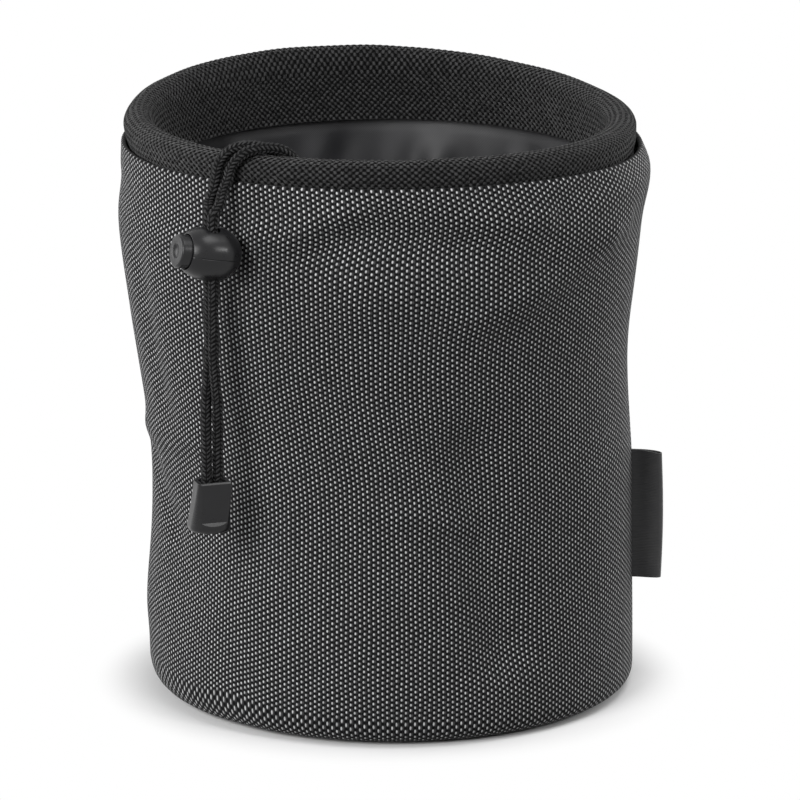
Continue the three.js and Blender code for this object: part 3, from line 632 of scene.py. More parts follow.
def woven_cloth(name, look, edge=1.0):
    """Two-tone plain weave: light warp flecks over dark weft, staggered by column, plain past an edge, with
    painted shade in the gaps and holes between the threads and a painted shadow beside each fleck.
    """
    finish = Finish(name)
    uv, u, v = finish.cloth_uv()
    plain = finish.ramp(v, edge + 0.0003, edge + 0.0008)
    u = finish.wander(u, uv, 55, 0.00055)
    v = finish.wander(v, uv, 38, 0.0006)
    column = finish.math("DIVIDE", u, look.column_pitch)
    column_number = finish.math("FLOOR", column)
    aside = finish.from_middle(column)
    other = finish.math("FLOORED_MODULO", column_number, 2.0)
    row = finish.math("MULTIPLY_ADD", other, 0.5, finish.math("DIVIDE", v, 2 * look.row_pitch))
    row_number = finish.math("FLOOR", row)
    above = finish.from_middle(row)
    uneven = finish.math("MULTIPLY_ADD", finish.cell(row_number, column_number), 0.14, -0.07)
    aside = finish.math("ADD", aside, uneven)
    wide = finish.math("MULTIPLY", aside, 2 * look.column_pitch / look.fleck_wide)
    tall = finish.math("MULTIPLY", above, 4 * look.row_pitch / look.fleck_tall)
    fleck = finish.ramp(finish.distance(wide, tall), 1.2, 0.6)
    fleck = finish.math("MULTIPLY", fleck, finish.math("SUBTRACT", 1.0, plain))
    # Painted shade: the holes between the rows, and a dot left of each fleck that is its painted shadow, both
    # near black
    between = finish.math("SUBTRACT", 0.5, finish.math("ABSOLUTE", above))
    hole = finish.spot(aside, between, 0.44, 0.27)
    hole = finish.math("MAXIMUM", hole, finish.spot(aside, above, 0.27, 0.29, -0.42))
    weft = finish.math("MULTIPLY", finish.spot(aside, above, 0.34, 0.34, 0.42), 0.75)
    weft = finish.math("MULTIPLY", finish.math("ADD", weft, 0.25), finish.math("SUBTRACT", 1.0, hole))
    fibres = finish.noise(uv, 2600, 2)
    thread = finish.cell(column_number, row_number)
    light = finish.math("MULTIPLY_ADD", thread, 0.35, 0.7)
    light = finish.math("MULTIPLY", light, finish.ramp(fibres, 0.2, 0.75, 0.75, 1.1))
    # Where no weft strand lies, the ground takes the painted shade colour
    ground = finish.mix(weft, rgba(look.weave_gap_shade_colour), rgba(look.weft_colour))
    warp = finish.scaled(rgba(look.fleck_colour), light)
    finish.set(Base_Color=finish.mix(fleck, ground, warp))
    finish.set(Roughness=look.roughness, Sheen_Weight=look.sheen, Sheen_Roughness=0.45)
    finish.set(Specular_IOR_Level=0.04)
    finish.bump(finish.math("MULTIPLY_ADD", weft, 0.5, fleck), 0.00022, 0.8)
    return finish.material


def knit_cloth(name, look):
    """Fine thick knit: staggered strokes that lean to either side, with painted shade: near-black holes
    between them and yarn darkened away from each stroke's middle.
    """
    finish = Finish(name)
    uv, u, v = finish.cloth_uv()
    u = finish.wander(u, uv, 420, 0.0003)
    v = finish.wander(v, uv, 300, 0.00025)
    row = finish.math("DIVIDE", v, look.knit_tall)
    row_number = finish.math("FLOOR", row)
    other = finish.math("FLOORED_MODULO", row_number, 2.0)
    column = finish.math("MULTIPLY_ADD", other, 0.5, finish.math("DIVIDE", u, look.knit_wide))
    column_number = finish.math("FLOOR", column)
    aside = finish.from_middle(column)
    above = finish.from_middle(row)
    side = finish.math("MULTIPLY_ADD", finish.cell(column_number, row_number), 0.6, -0.3)
    slanted = finish.math("ADD", aside, finish.math("MULTIPLY", above, side))
    stroke = finish.spot(slanted, above, 0.36, 0.75)
    # Painted shade: the holes between the loops take the near-black shade colour
    hole = finish.spot(finish.math("SUBTRACT", 0.5, finish.math("ABSOLUTE", aside)), above, 0.34, 0.64)
    fibres = finish.noise(uv, 2200, 2)
    light = finish.math("MULTIPLY_ADD", finish.cell(row_number, column_number), 0.7, 0.6)
    light = finish.math("MULTIPLY", light, finish.ramp(fibres, 0.3, 0.7, 0.8, 1.1))
    # Painted shade: the yarn darkens away from each stroke's middle, into the valleys between the strokes
    light = finish.math("MULTIPLY", light, finish.ramp(stroke, 0.0, 1.0, 0.18, 1.0))
    yarn = finish.scaled(rgba(look.knit_colour), light)
    finish.set(Base_Color=finish.mix(hole, yarn, rgba(look.knit_hole_shade_colour)))
    finish.set(Roughness=0.8, Sheen_Weight=look.knit_sheen, Sheen_Roughness=0.4)
    finish.set(Specular_IOR_Level=0.04)
    finish.bump(finish.math("SUBTRACT", finish.math("MULTIPLY_ADD", fibres, 0.12, stroke), hole), 0.0005, 0.9)
    return finish.material


def thin_nylon(name, look):
    """Thin plain cloth with a faint square weave and a soft gloss."""
    finish = Finish(name)
    uv, u, v = finish.cloth_uv()
    waves = [finish.math("MULTIPLY", place, 2 * math.pi / 0.0006) for place in (u, v)]
    weave = finish.math("MULTIPLY", *(finish.math("SINE", wave) for wave in waves))
    patches = finish.noise(uv, 60, 3)
    light = finish.math("MULTIPLY_ADD", weave, 0.12, finish.ramp(patches, 0.3, 0.7, 0.8, 1.0))
    finish.set(Base_Color=finish.scaled(rgba(look.nylon_colour), light))
    finish.set(Roughness=finish.ramp(patches, 0.3, 0.7, 0.42, 0.55), Sheen_Weight=0.1)
    finish.bump(weave, 0.00004, 0.6)
    return finish.material


def ribbed_tape(name, colour, rib_pitch, roughness, sheen):
    """Narrow woven tape or ribbon with fine ribs across it."""
    finish = Finish(name)
    uv, u, v = finish.cloth_uv()
    rib = finish.math("SINE", finish.math("MULTIPLY", v, 2 * math.pi / rib_pitch))
    cross = finish.math("SINE", finish.math("MULTIPLY", u, 2 * math.pi / (0.6 * rib_pitch)))
    weave = finish.math("MULTIPLY_ADD", finish.math("MULTIPLY", rib, cross), 0.3, rib)
    cloud = finish.noise(uv, 140, 3)
    light = finish.math("MULTIPLY_ADD", weave, 0.14, finish.ramp(cloud, 0.3, 0.7, 0.75, 0.95))
    finish.set(Base_Color=finish.scaled(rgba(colour), light))
    finish.set(Roughness=finish.ramp(cloud, 0.3, 0.7, roughness - 0.05, roughness + 0.08))
    finish.set(Sheen_Weight=sheen)
    finish.bump(weave, 0.00005, 0.7)
    return finish.material


def braided_cord(name, look):
    """Round braided cord: columns of small stitches that slant to either side in turn, with the gaps between
    them painted near black as shade.
    """
    finish = Finish(name)
    uv, u, v = finish.cloth_uv()
    v = finish.wander(v, finish.object_place(), 900, 0.0006)
    column = finish.math("MULTIPLY", u, float(look.cord_columns))
    column_number = finish.math("FLOOR", column)
    aside = finish.from_middle(column)
    side = finish.math("MULTIPLY_ADD", finish.math("FLOORED_MODULO", column_number, 2.0), -1.8, 0.9)
    row = finish.math("MULTIPLY_ADD", aside, side, finish.math("DIVIDE", v, look.stitch_pitch))
    row_number = finish.math("FLOOR", row)
    above = finish.math("ABSOLUTE", finish.from_middle(row))
    # Painted shade: between the stitch rows and at the edges of each column the colour turns to the
    # near-black shade colour
    stitch = finish.ramp(above, 0.36, 0.1)
    hollow = finish.ramp(finish.math("ABSOLUTE", aside), 0.5, 0.3)
    stitch = finish.math("MULTIPLY", stitch, hollow)
    fibres = finish.noise(uv, 900, 3)
    light = finish.math("MULTIPLY_ADD", finish.cell(column_number, row_number), 0.5, 0.6)
    light = finish.math("MULTIPLY", light, finish.ramp(fibres, 0.3, 0.7, 0.7, 1.15))
    yarn = finish.scaled(rgba(look.cord_colour), light)
    finish.set(Base_Color=finish.mix(stitch, rgba(look.cord_gap_shade_colour), yarn))
    finish.set(Roughness=0.7, Sheen_Weight=0.05, Sheen_Roughness=0.4, Specular_IOR_Level=0.06)
    finish.bump(stitch, 0.00022, 0.7)
    return finish.material


def moulded_plastic(name, look):
    """Satin moulded plastic with a fine spark-eroded grain and faint rubbed patches."""
    finish = Finish(name)
    place = finish.object_place()
    grain = finish.noise(place, 5200, 2)
    patches = finish.noise(place, 160, 3)
    rough = look.plastic_roughness
    finish.set(Base_Color=finish.scaled(rgba(look.plastic_colour), finish.ramp(patches, 0.3, 0.7, 0.85, 1.0)))
    finish.set(Roughness=finish.ramp(patches, 0.3, 0.7, rough - 0.04, rough + 0.06))
    finish.set(Specular_IOR_Level=look.plastic_gloss)
    finish.bump(grain, 0.000006, 0.4)
    return finish.material


def spring_wire(name):
    """Drawn wire with fine lengthwise drag marks."""
    finish = Finish(name)
    place = finish.object_place()
    drag = finish.noise(place, 4000, 2)
    finish.set(Base_Color=finish.mix(drag, (0.42, 0.43, 0.45, 1), (0.6, 0.61, 0.63, 1)))
    finish.set(Metallic=1.0, Roughness=finish.ramp(drag, 0.2, 0.8, 0.22, 0.34))
    return finish.material


# What a user would change


class PegBagCloth(bpy.types.PropertyGroup):
    """The woven cloth of the wall and base, and the thin cloth inside."""

    fleck_colour: bpy.props.FloatVectorProperty(
        name="Fleck", description="Light warp threads", subtype="COLOR", min=0, max=1,
        default=(0.72, 0.72, 0.73),
    )
    weft_colour: bpy.props.FloatVectorProperty(
        name="Weft", description="Dark weft threads", subtype="COLOR", min=0, max=1,
        default=(0.072, 0.072, 0.074),
    )
    # Painted shade: the near-black colour of the gaps and holes between threads and of each fleck's painted
    # shadow
    weave_gap_shade_colour: bpy.props.FloatVectorProperty(
        name="Gap", description="Holes between threads", subtype="COLOR", min=0, max=1,
        default=(0.002, 0.002, 0.0022),
    )
    nylon_colour: bpy.props.FloatVectorProperty(
        name="Nylon", description="Thin closing cloth", subtype="COLOR", min=0, max=1,
        default=(0.012, 0.012, 0.014),
    )
    tape_colour: bpy.props.FloatVectorProperty(
        name="Tape", description="Binding of the seams", subtype="COLOR", min=0, max=1,
        default=(0.012, 0.012, 0.013),
    )
    label_colour: bpy.props.FloatVectorProperty(
        name="Label", description="Bare side label", subtype="COLOR", min=0, max=1,
        default=(0.008, 0.008, 0.009),
    )
    column_pitch: bpy.props.FloatProperty(
        name="Column pitch", description="Between warp columns", unit="LENGTH", default=0.00142
    )
    row_pitch: bpy.props.FloatProperty(
        name="Row pitch", description="Between weft rows", unit="LENGTH", default=0.00082
    )
    fleck_wide: bpy.props.FloatProperty(
        name="Fleck width", description="Of one light fleck", unit="LENGTH", default=0.0006
    )
    fleck_tall: bpy.props.FloatProperty(
        name="Fleck height", description="Of one light fleck", unit="LENGTH", default=0.0009
    )
    roughness: bpy.props.FloatProperty(
        name="Roughness", description="Of the woven cloth", subtype="FACTOR", min=0, max=1, default=0.7
    )
    sheen: bpy.props.FloatProperty(
        name="Sheen", description="Light fuzz of the weave", subtype="FACTOR", min=0, max=1, default=0.03
    )


class PegBagRim(bpy.types.PropertyGroup):
    """The padded knit rim."""

    knit_colour: bpy.props.FloatVectorProperty(
        name="Knit", description="Yarn of the rim", subtype="COLOR", min=0, max=1,
        default=(0.066, 0.066, 0.067),
    )
    # Painted shade in the holes between the loops
    knit_hole_shade_colour: bpy.props.FloatVectorProperty(
        name="Holes", description="Between the loops", subtype="COLOR", min=0, max=1,
        default=(0.003, 0.003, 0.0032),
    )
    knit_wide: bpy.props.FloatProperty(
        name="Loop width", description="Along the rim", unit="LENGTH", default=0.00205
    )
    knit_tall: bpy.props.FloatProperty(
        name="Loop height", description="Across the rim", unit="LENGTH", default=0.00095
    )
    knit_depth: bpy.props.FloatProperty(
        name="Unevenness", description="Of the rim's surface", unit="LENGTH", default=0.0003
    )
    knit_sheen: bpy.props.FloatProperty(
        name="Sheen", description="Light fuzz of the knit", subtype="FACTOR", min=0, max=1, default=0.12
    )


class PegBagCord(bpy.types.PropertyGroup):
    """The drawcord."""

    cord_colour: bpy.props.FloatVectorProperty(
        name="Yarn", description="Stitches of the cord", subtype="COLOR", min=0, max=1,
        default=(0.06, 0.06, 0.061),
    )
    # Painted shade in the gaps between the stitches
    cord_gap_shade_colour: bpy.props.FloatVectorProperty(
        name="Gaps", description="Between the stitches", subtype="COLOR", min=0, max=1,
        default=(0.003, 0.003, 0.0032),
    )
    diameter: bpy.props.FloatProperty(
        name="Diameter", description="Of the drawcord", unit="LENGTH", default=CORD * MM
    )
    cord_columns: bpy.props.IntProperty(
        name="Columns", description="Columns of stitches around the cord", default=6
    )
    stitch_pitch: bpy.props.FloatProperty(
        name="Stitch pitch", description="Along the cord", unit="LENGTH", default=0.00135
    )


class PegBagHardware(bpy.types.PropertyGroup):
    """The cord lock and the cord end."""

    plastic_colour: bpy.props.FloatVectorProperty(
        name="Plastic", description="Moulded pieces", subtype="COLOR", min=0, max=1,
        default=(0.010, 0.010, 0.011),
    )
    plastic_roughness: bpy.props.FloatProperty(
        name="Roughness", description="Of the moulded pieces", subtype="FACTOR", min=0, max=1, default=0.3
    )
    plastic_gloss: bpy.props.FloatProperty(
        name="Gloss", description="Of the moulded pieces", subtype="FACTOR", min=0, max=1, default=0.3
    )


class PegBagStage(bpy.types.PropertyGroup):
    """Camera and light."""

    distance: bpy.props.FloatProperty(
        name="Distance", description="From the camera to the bag", unit="LENGTH", default=2.2
    )
    height: bpy.props.FloatProperty(
        name="Aim", description="Height that the camera aims at", unit="LENGTH", default=0.09
    )
    elevation: bpy.props.FloatProperty(
        name="Elevation", description="Of the camera", subtype="ANGLE", default=math.radians(15)
    )
    lens: bpy.props.FloatProperty(name="Lens", description="Focal length in millimetres", default=324.7)
    key_power: bpy.props.FloatProperty(name="Key", description="Softbox on the left, in watts", default=17)
    fill_power: bpy.props.FloatProperty(name="Fill", description="Lamp on the right, in watts", default=4)
    top_power: bpy.props.FloatProperty(name="Top", description="Lamp above, in watts", default=6)
    edge_power: bpy.props.FloatProperty(name="Edges", description="Lamps at the sides, in watts", default=10)
    ambient: bpy.props.FloatProperty(name="Ambient", description="Light from all around", default=0.1)


GROUPS = {
    "peg_bag_cloth": PegBagCloth,
    "peg_bag_rim": PegBagRim,
    "peg_bag_cord": PegBagCord,
    "peg_bag_hardware": PegBagHardware,
    "peg_bag_stage": PegBagStage,
}


# The pieces


class PEGBAG_OT_stage(bpy.types.Operator):
    """Adds the camera, the lamps, the pale floor and the white surroundings"""

    bl_idname = "peg_bag.stage"
    bl_label = "Stage"

    def execute(self, context):
        look = context.scene.peg_bag_stage
        self.camera(context, look)
        self.lamps(look)
        self.surroundings(context, look)
        self.floor()
        context.scene.view_settings.view_transform = "Standard"
        return {"FINISHED"}

    def camera(self, context, look):
        deselect_all()
        aim = Vector((0, 0, look.height))
        back = Vector((0, -math.cos(look.elevation), math.sin(look.elevation)))
        bpy.ops.object.camera_add(location=aim + back * look.distance)
        camera = context.object
        camera.name = "camera"
        camera.rotation_euler = (-back).to_track_quat("-Z", "Y").to_euler()
        camera.data.sensor_width = 36
        camera.data.lens = look.lens
        camera.data.shift_x = 8.8 / FRAME
        camera.data.shift_y = -7.2 / FRAME
        camera.data.clip_end = 50
        context.scene.camera = camera

    def lamps(self, look):
        for name, place, size, power in (
            ("key_softbox", (-0.82, -1.18, 0.78), 0.7, look.key_power),
            ("fill_lamp", (1.15, -0.88, 0.82), 0.2, look.fill_power),
            ("top_lamp", (0.35, -0.3, 1.3), 0.6, look.top_power),
            ("left_edge_lamp", (-1.25, 0.1, 0.3), 0.9, look.edge_power),
            ("right_edge_lamp", (0.95, 0.7, 0.3), 0.7, 0.7 * look.edge_power),
        ):
            deselect_all()
            bpy.ops.object.light_add(type="AREA", location=place)
            lamp = bpy.context.object
            lamp.name = name
            lamp.data.size = size
            lamp.data.energy = power
            ahead = Vector((0, 0, look.height)) - Vector(place)
            lamp.rotation_euler = ahead.to_track_quat("-Z", "Y").to_euler()

    def seen_ray(self, tree):
        """Is the ray one that shows the surroundings, straight or in gloss or glass."""
        rays = tree.nodes.new("ShaderNodeLightPath")
        shown = rays.outputs["Is Camera Ray"]
        for other in ("Is Glossy Ray", "Is Transmission Ray"):
            either = tree.nodes.new("ShaderNodeMath")
            either.operation = "MAXIMUM"
            tree.links.new(shown, either.inputs[0])
            tree.links.new(rays.outputs[other], either.inputs[1])
            shown = either.outputs[0]
        return shown

    def surroundings(self, context, look):
        world = bpy.data.worlds.new("studio")
        context.scene.world = world
        world.use_nodes = True
        tree = world.node_tree
        plain = tree.nodes["Background"]
        white = tree.nodes.new("ShaderNodeBackground")
        for light, strength in ((plain, look.ambient), (white, 1)):
            light.inputs["Color"].default_value = (1, 1, 1, 1)
            light.inputs["Strength"].default_value = strength
        choose = tree.nodes.new("ShaderNodeMixShader")
        tree.links.new(self.seen_ray(tree), choose.inputs[0])
        tree.links.new(plain.outputs[0], choose.inputs[1])
        tree.links.new(white.outputs[0], choose.inputs[2])
        tree.links.new(choose.outputs[0], tree.nodes["World Output"].inputs["Surface"])

    def floor(self):
        """A pale floor with the bag's shadow, which shows white away from the bag's foot."""
        floor = named_primitive("floor", bpy.ops.mesh.primitive_plane_add, size=12, location=(0, 0, -0.0002))
        finish = Finish("pale floor")
        tree = finish.tree
        shown = self.seen_ray(tree)
        finish.set(Base_Color=finish.mix(shown, (0.3, 0.3, 0.3, 1), (0.93, 0.93, 0.93, 1)))
        finish.set(Roughness=0.8, Specular_IOR_Level=0.2)
        bright = tree.nodes.new("ShaderNodeEmission")
        bright.inputs["Strength"].default_value = 1
        place = finish.object_place()
        far = finish.node("ShaderNodeVectorMath", operation="LENGTH")
        finish.join(place, far.inputs[0])
        away = finish.ramp(far.outputs["Value"], 0.069, 0.092)
        share = finish.math("MULTIPLY", away, shown)
        choose = tree.nodes.new("ShaderNodeMixShader")
        tree.links.new(share, choose.inputs[0])
        tree.links.new(finish.shader.outputs[0], choose.inputs[1])
        tree.links.new(bright.outputs[0], choose.inputs[2])
        tree.links.new(choose.outputs[0], tree.nodes["Material Output"].inputs["Surface"])
        floor.data.materials.append(finish.material)


def cord_mesh(name, line_mm, look, sides=24):
    """A braided cord along a line, with its stitches raised."""
    rings = len(line_mm) - 1
    obj, around, along = flat_grid(name, sides, rings)
    number = step_number(along, rings)
    first, second = frames_along(line_mm)
    run = along * line_length(line_mm)
    column = around * look.cord_columns
    aside = column % 1 - 0.5
    row = run * MM / look.stitch_pitch + aside * (0.9 - 1.8 * (np.floor(column) % 2))
    above = np.abs(row % 1 - 0.5)
    raised = eased(0.4, 0.1, above) * eased(0.5, 0.28, np.abs(aside))
    radius = look.diameter / MM / 2 - 0.2 + 0.24 * raised
    turn = 2 * np.pi * around
    spoke = first[number] * np.cos(turn)[:, None] + second[number] * np.sin(turn)[:, None]
    wrap(obj, line_mm[number] + spoke * radius[:, None], around, run * MM)
    weld(obj, fill=True, turn_out=True)
    smooth_faces(obj, 60)
    return obj


def tail_line(over_rim, side):
    axis = pair_axis()
    across = polar(1, BUTTON_ANGLE + 90, 0)
    points = list(at_rim(over_rim))
    for up, turn in HANGING:
        points.append(axis + about_z(across, turn) * side * PAIR_HALF + np.array((0, 0, up)))
    end = points[-1].copy()
    end[2] = cap_bottom() + CAP_FLOOR + GAP
    points.append(end)
    return spline(points, 0.42)


def skirt_radius(angle):
    return SKIRT_RADIUS + SKIRT_FOLD * np.cos(SKIRT_FOLDS * np.radians(angle - TAIL_ANGLE))


class PEGBAG_OT_drawcord(bpy.types.Operator):
    """Adds the drawcord: its run in the casing and the two tails over the rim"""

    bl_idname = "peg_bag.drawcord"
    bl_label = "Drawcord"

    def execute(self, context):
        look = context.scene.peg_bag_cord
        braid = braided_cord("knitted cord", look)
        for name, over_rim, side in (("left", LEFT_OVER_RIM, -1), ("right", RIGHT_OVER_RIM, 1)):
            line = tail_line(over_rim, side)
            tail = cord_mesh(f"drawcord_{name}", line, look)
            finish_piece(tail, "bag", "cord_braid", braid, f"drawcord_tail_{name}")
        angles = TAIL_ANGLE + np.linspace(EXIT_HALF, 360 - EXIT_HALF, 160)
        radius = skirt_radius(angles) - CORD / 2 - CASING_EASE - NYLON / 2
        route = leaned(polar(radius, angles, CASING_HEIGHT))
        run = cord_mesh("drawcord_in_casing", spline(route, 0.8), look, 16)
        finish_piece(run, "bag", "cord_braid", braid, "drawcord_run")
        return {"FINISHED"}


def wall_stops():
    """Stops along the cloth's section, from base seam to hem: number of the stretch and share of it."""
    stops = []
    for kind, steps in enumerate((2, 4, 1, 9, 110, 6, 4)):
        stops += [(kind, i / steps) for i in range(steps)]
    return np.array(stops + [(6, 1.0)])


def wall_section(angle, kind, share):
    """Radius and height of the middle of the wall's cloth."""
    half = CLOTH_SEEN / 2
    seam = BASE_RADIUS + GAP + half
    fold = 1.4
    under = FOOT_RADIUS - FOOT_ROUND
    side = np.cos(np.radians(angle))
    lift = FOOT_LIFT * np.exp(-(turn_between(angle, FOOT_LIFT_ANGLE) / FOOT_LIFT_WIDE) ** 2)
    tall = FOOT_TALL - FOOT_SAG * side + lift
    hem = (CLOTH_SEEN + GAP) / 2
    dip = HEM_DIP + HEM_DIP_SIDES * side ** 2 + HEM_DIP_RIGHT * np.maximum(side, 0) ** 4
    top = BODY_HEIGHT - half - hem - dip
    rise = tall + (top - tall) * share
    sweep = np.radians(180 + 90 * share)
    foot = np.radians(90 * share)
    turn = np.radians(180 * share)
    drawn = HEM_DRAW * eased(BODY_HEIGHT - 1.2 * HEM_DEPTH, top + 2, rise)
    rim = TOP_RADIUS - half - HEM_DRAW * eased(BODY_HEIGHT - 1.2 * HEM_DEPTH, top + 2, top)
    turned_in = top + (BODY_HEIGHT - HEM_DEPTH - top) * share
    stretches = [kind == number for number in range(6)]
    radius = np.select(
        stretches,
        [
            seam + 0 * share,
            seam + fold + fold * np.cos(sweep),
            seam + fold + (under - seam - fold) * share,
            under + (FOOT_ROUND - half) * np.sin(foot) ** FOOT_SQUARE,
            wall_radius(angle, rise) + folded(angle, rise) - half - drawn,
            rim - hem + hem * np.cos(turn),
        ],
        rim - 2 * hem + HEM_DRAW * share + folded(angle, turned_in),
    )
    height = np.select(
        stretches,
        [
            SEAM_RISE + (half + fold - SEAM_RISE) * share,
            half + fold + fold * np.sin(sweep),
            half + 0 * share,
            tall - (tall - half) * np.abs(np.cos(foot)) ** FOOT_SQUARE,
            rise,
            top + hem * np.sin(turn),
        ],
        turned_in,
    )
    return radius, height


def at_label(height):
    """Whether a height lies where the label is sewn into the side seam."""
    return (height > LABEL_BOTTOM - 3) & (height < LABEL_BOTTOM + LABEL_TALL + 3)


class PEGBAG_OT_wall(bpy.types.Operator):
    """Adds the wall: one strip of woven cloth, turned in at the side seam, the base seam and the hem"""

    bl_idname = "peg_bag.wall"
    bl_label = "Wall"

    def execute(self, context):
        look = context.scene.peg_bag_cloth
        stops = wall_stops()
        columns = 340
        wall, across, along = flat_grid("wall_cloth", columns, len(stops) - 1)
        number = step_number(along, len(stops) - 1)
        kind = stops[number, 0]
        share = stops[number, 1]
        # The columns stand closer together at the side seam, where the cloth bends most
        crowded = across - 0.55 * np.sin(2 * np.pi * across) / (2 * np.pi)
        around = 2 * np.pi * WAIST_RADIUS
        run = crowded * (around + 2 * SEAM_DEPTH) - SEAM_DEPTH
        angle = SEAM_ANGLE + np.degrees(np.clip(run, 0, around) / WAIST_RADIUS)
        radius, height = wall_section(angle, kind, share)
        beyond = np.maximum(-run, run - around)
        sewn = eased(SEAM_START - 3, SEAM_START + 1, height) * eased(SEAM_END + 3, SEAM_END - 1, height)
        sewn = np.where(kind == 4, sewn, 0)
        bend = 1.1
        dip = 0.45 * bend
        inset = np.where(beyond > 0, beyond + dip, dip * np.clip(1 + beyond / bend, 0, 1) ** 2)
        radius = radius - sewn * inset
        slit = np.where(at_label(height), LABEL_TAIL / 2 + GAP, GAP)
        side = np.where(across < 0.5, 1, -1)
        edge = CLOTH_SEEN / 2 * sewn + slit
        aside = np.clip(1 + beyond / (2 * bend), 0, 1) * edge
        angle = angle + side * np.degrees(aside / radius)
        flat_run = np.array([wall_section(0.0, *stop) for stop in stops], float)
        rows = run_along(flat_run)
        wrap(wall, leaned(polar(radius, angle, height)), run * 1.03 * MM, rows[number] * MM)
        weld(wall)
        thicken(wall, CLOTH_SEEN, even=False)
        smooth_faces(wall, 70)
        turned = rows[np.flatnonzero(stops[:, 0] == 5)[0]] * MM
        finish_piece(wall, "bag", "body_cloth", woven_cloth("two-tone weave", look, turned), "body_panel")
        return {"FINISHED"}


def turned_sheet(name, path, columns):
    """A thin sheet turned about the bag's middle from a path of radius and height, and its flat size."""
    run = run_along(path)
    sheet, across, along = flat_grid(name, columns, len(path) - 1)
    number = step_number(along, len(path) - 1)
    radius, height = path[number].T
    widest = 2 * np.pi * path[:, 0].max()
    wrap(sheet, polar(radius, 360 * across, height), across * widest * MM, run[number] * MM)
    weld(sheet)
    return sheet, (widest * MM, run[-1] * MM)


def arc_path(radius, height, size, start, end, steps):
    turn = np.radians(np.linspace(start, end, steps + 1))
    return np.column_stack((radius + size * np.cos(turn), height + size * np.sin(turn)))


class PEGBAG_OT_base(bpy.types.Operator):
    """Adds the base: a disc of woven cloth with its edge turned up inside"""

    bl_idname = "peg_bag.base"
    bl_label = "Base"

    def execute(self, context):
        look = context.scene.peg_bag_cloth
        half = CLOTH / 2
        bend = 1.2
        rings = np.linspace(0, BASE_RADIUS - half - bend, 26)
        path = np.vstack((
            np.column_stack((rings, np.full(len(rings), half))),
            arc_path(BASE_RADIUS - half - bend, half + bend, bend, -90, 0, 4)[1:],
            [(BASE_RADIUS - half, SEAM_RISE)],
        ))
        base, _ = turned_sheet("base_cloth", path, 128)
        place = vertex_places(base)
        lay_uv(base, place[:, 0], place[:, 1])
        thicken(base, CLOTH)
        smooth_faces(base, 60)
        finish_piece(base, "bag", "body_cloth", woven_cloth("base weave", look), "base_panel")
        return {"FINISHED"}


class PEGBAG_OT_bindings(bpy.types.Operator):
    """Adds the tapes folded over the raw edges of the base seam and the side seam"""

    bl_idname = "peg_bag.bindings"
    bl_label = "Seam bindings"

    def execute(self, context):
        look = context.scene.peg_bag_cloth
        tape = ribbed_tape("binding tape", look.tape_colour, 0.0009, 0.75, 0.25)
        inner = BASE_RADIUS - CLOTH - GAP - TAPE / 2
        outer = BASE_RADIUS + GAP + CLOTH + GAP + TAPE / 2
        top = SEAM_RISE + GAP + TAPE / 2
        foot = CLOTH + 1.8
        bend = 0.8
        path = np.vstack((
            [(outer, foot), (outer, (foot + top) / 2)],
            arc_path(outer - bend, top - bend, bend, 0, 90, 4),
            arc_path(inner + bend, top - bend, bend, 90, 180, 4),
            [(inner, (foot + top) / 2), (inner, foot)],
        ))
        base_tape, flat = turned_sheet("base_seam_tape", path, 180)
        thicken(base_tape, TAPE)
        smooth_faces(base_tape, 60)
        finish_piece(base_tape, "bag", "binding_tape", tape, "base_seam_binding")
        self.side(tape)
        return {"FINISHED"}

    def side(self, tape):
        levels = np.linspace(SEAM_START, SEAM_END, 60)
        wall = wall_radius(SEAM_ANGLE, levels) - CLOTH
        half = np.where(at_label(levels), LABEL_TAIL / 2 + GAP, GAP / 2) + CLOTH + GAP + TAPE / 2
        deep = SEAM_DEPTH + GAP + TAPE / 2
        leaf = np.array(((1, 2 * GAP), (1, deep / 2), (1, deep - 0.7), (0.6, deep)))
        folds = np.vstack((leaf, leaf[::-1] * (-1, 1)))
        obj, across, along = flat_grid("side_seam_tape", len(folds) - 1, len(levels) - 1)
        fold = folds[step_number(across, len(folds) - 1)]
        level = step_number(along, len(levels) - 1)
        points = np.column_stack((wall[level] - fold[:, 1], fold[:, 0] * half[level], levels[level]))
        wrap(obj, leaned(about_z(points, SEAM_ANGLE)), across * TAPE_WIDE * MM, levels[level] * MM)
        thicken(obj, TAPE)
        smooth_faces(obj, 60)
        finish_piece(obj, "bag", "binding_tape", tape, "side_seam_binding")


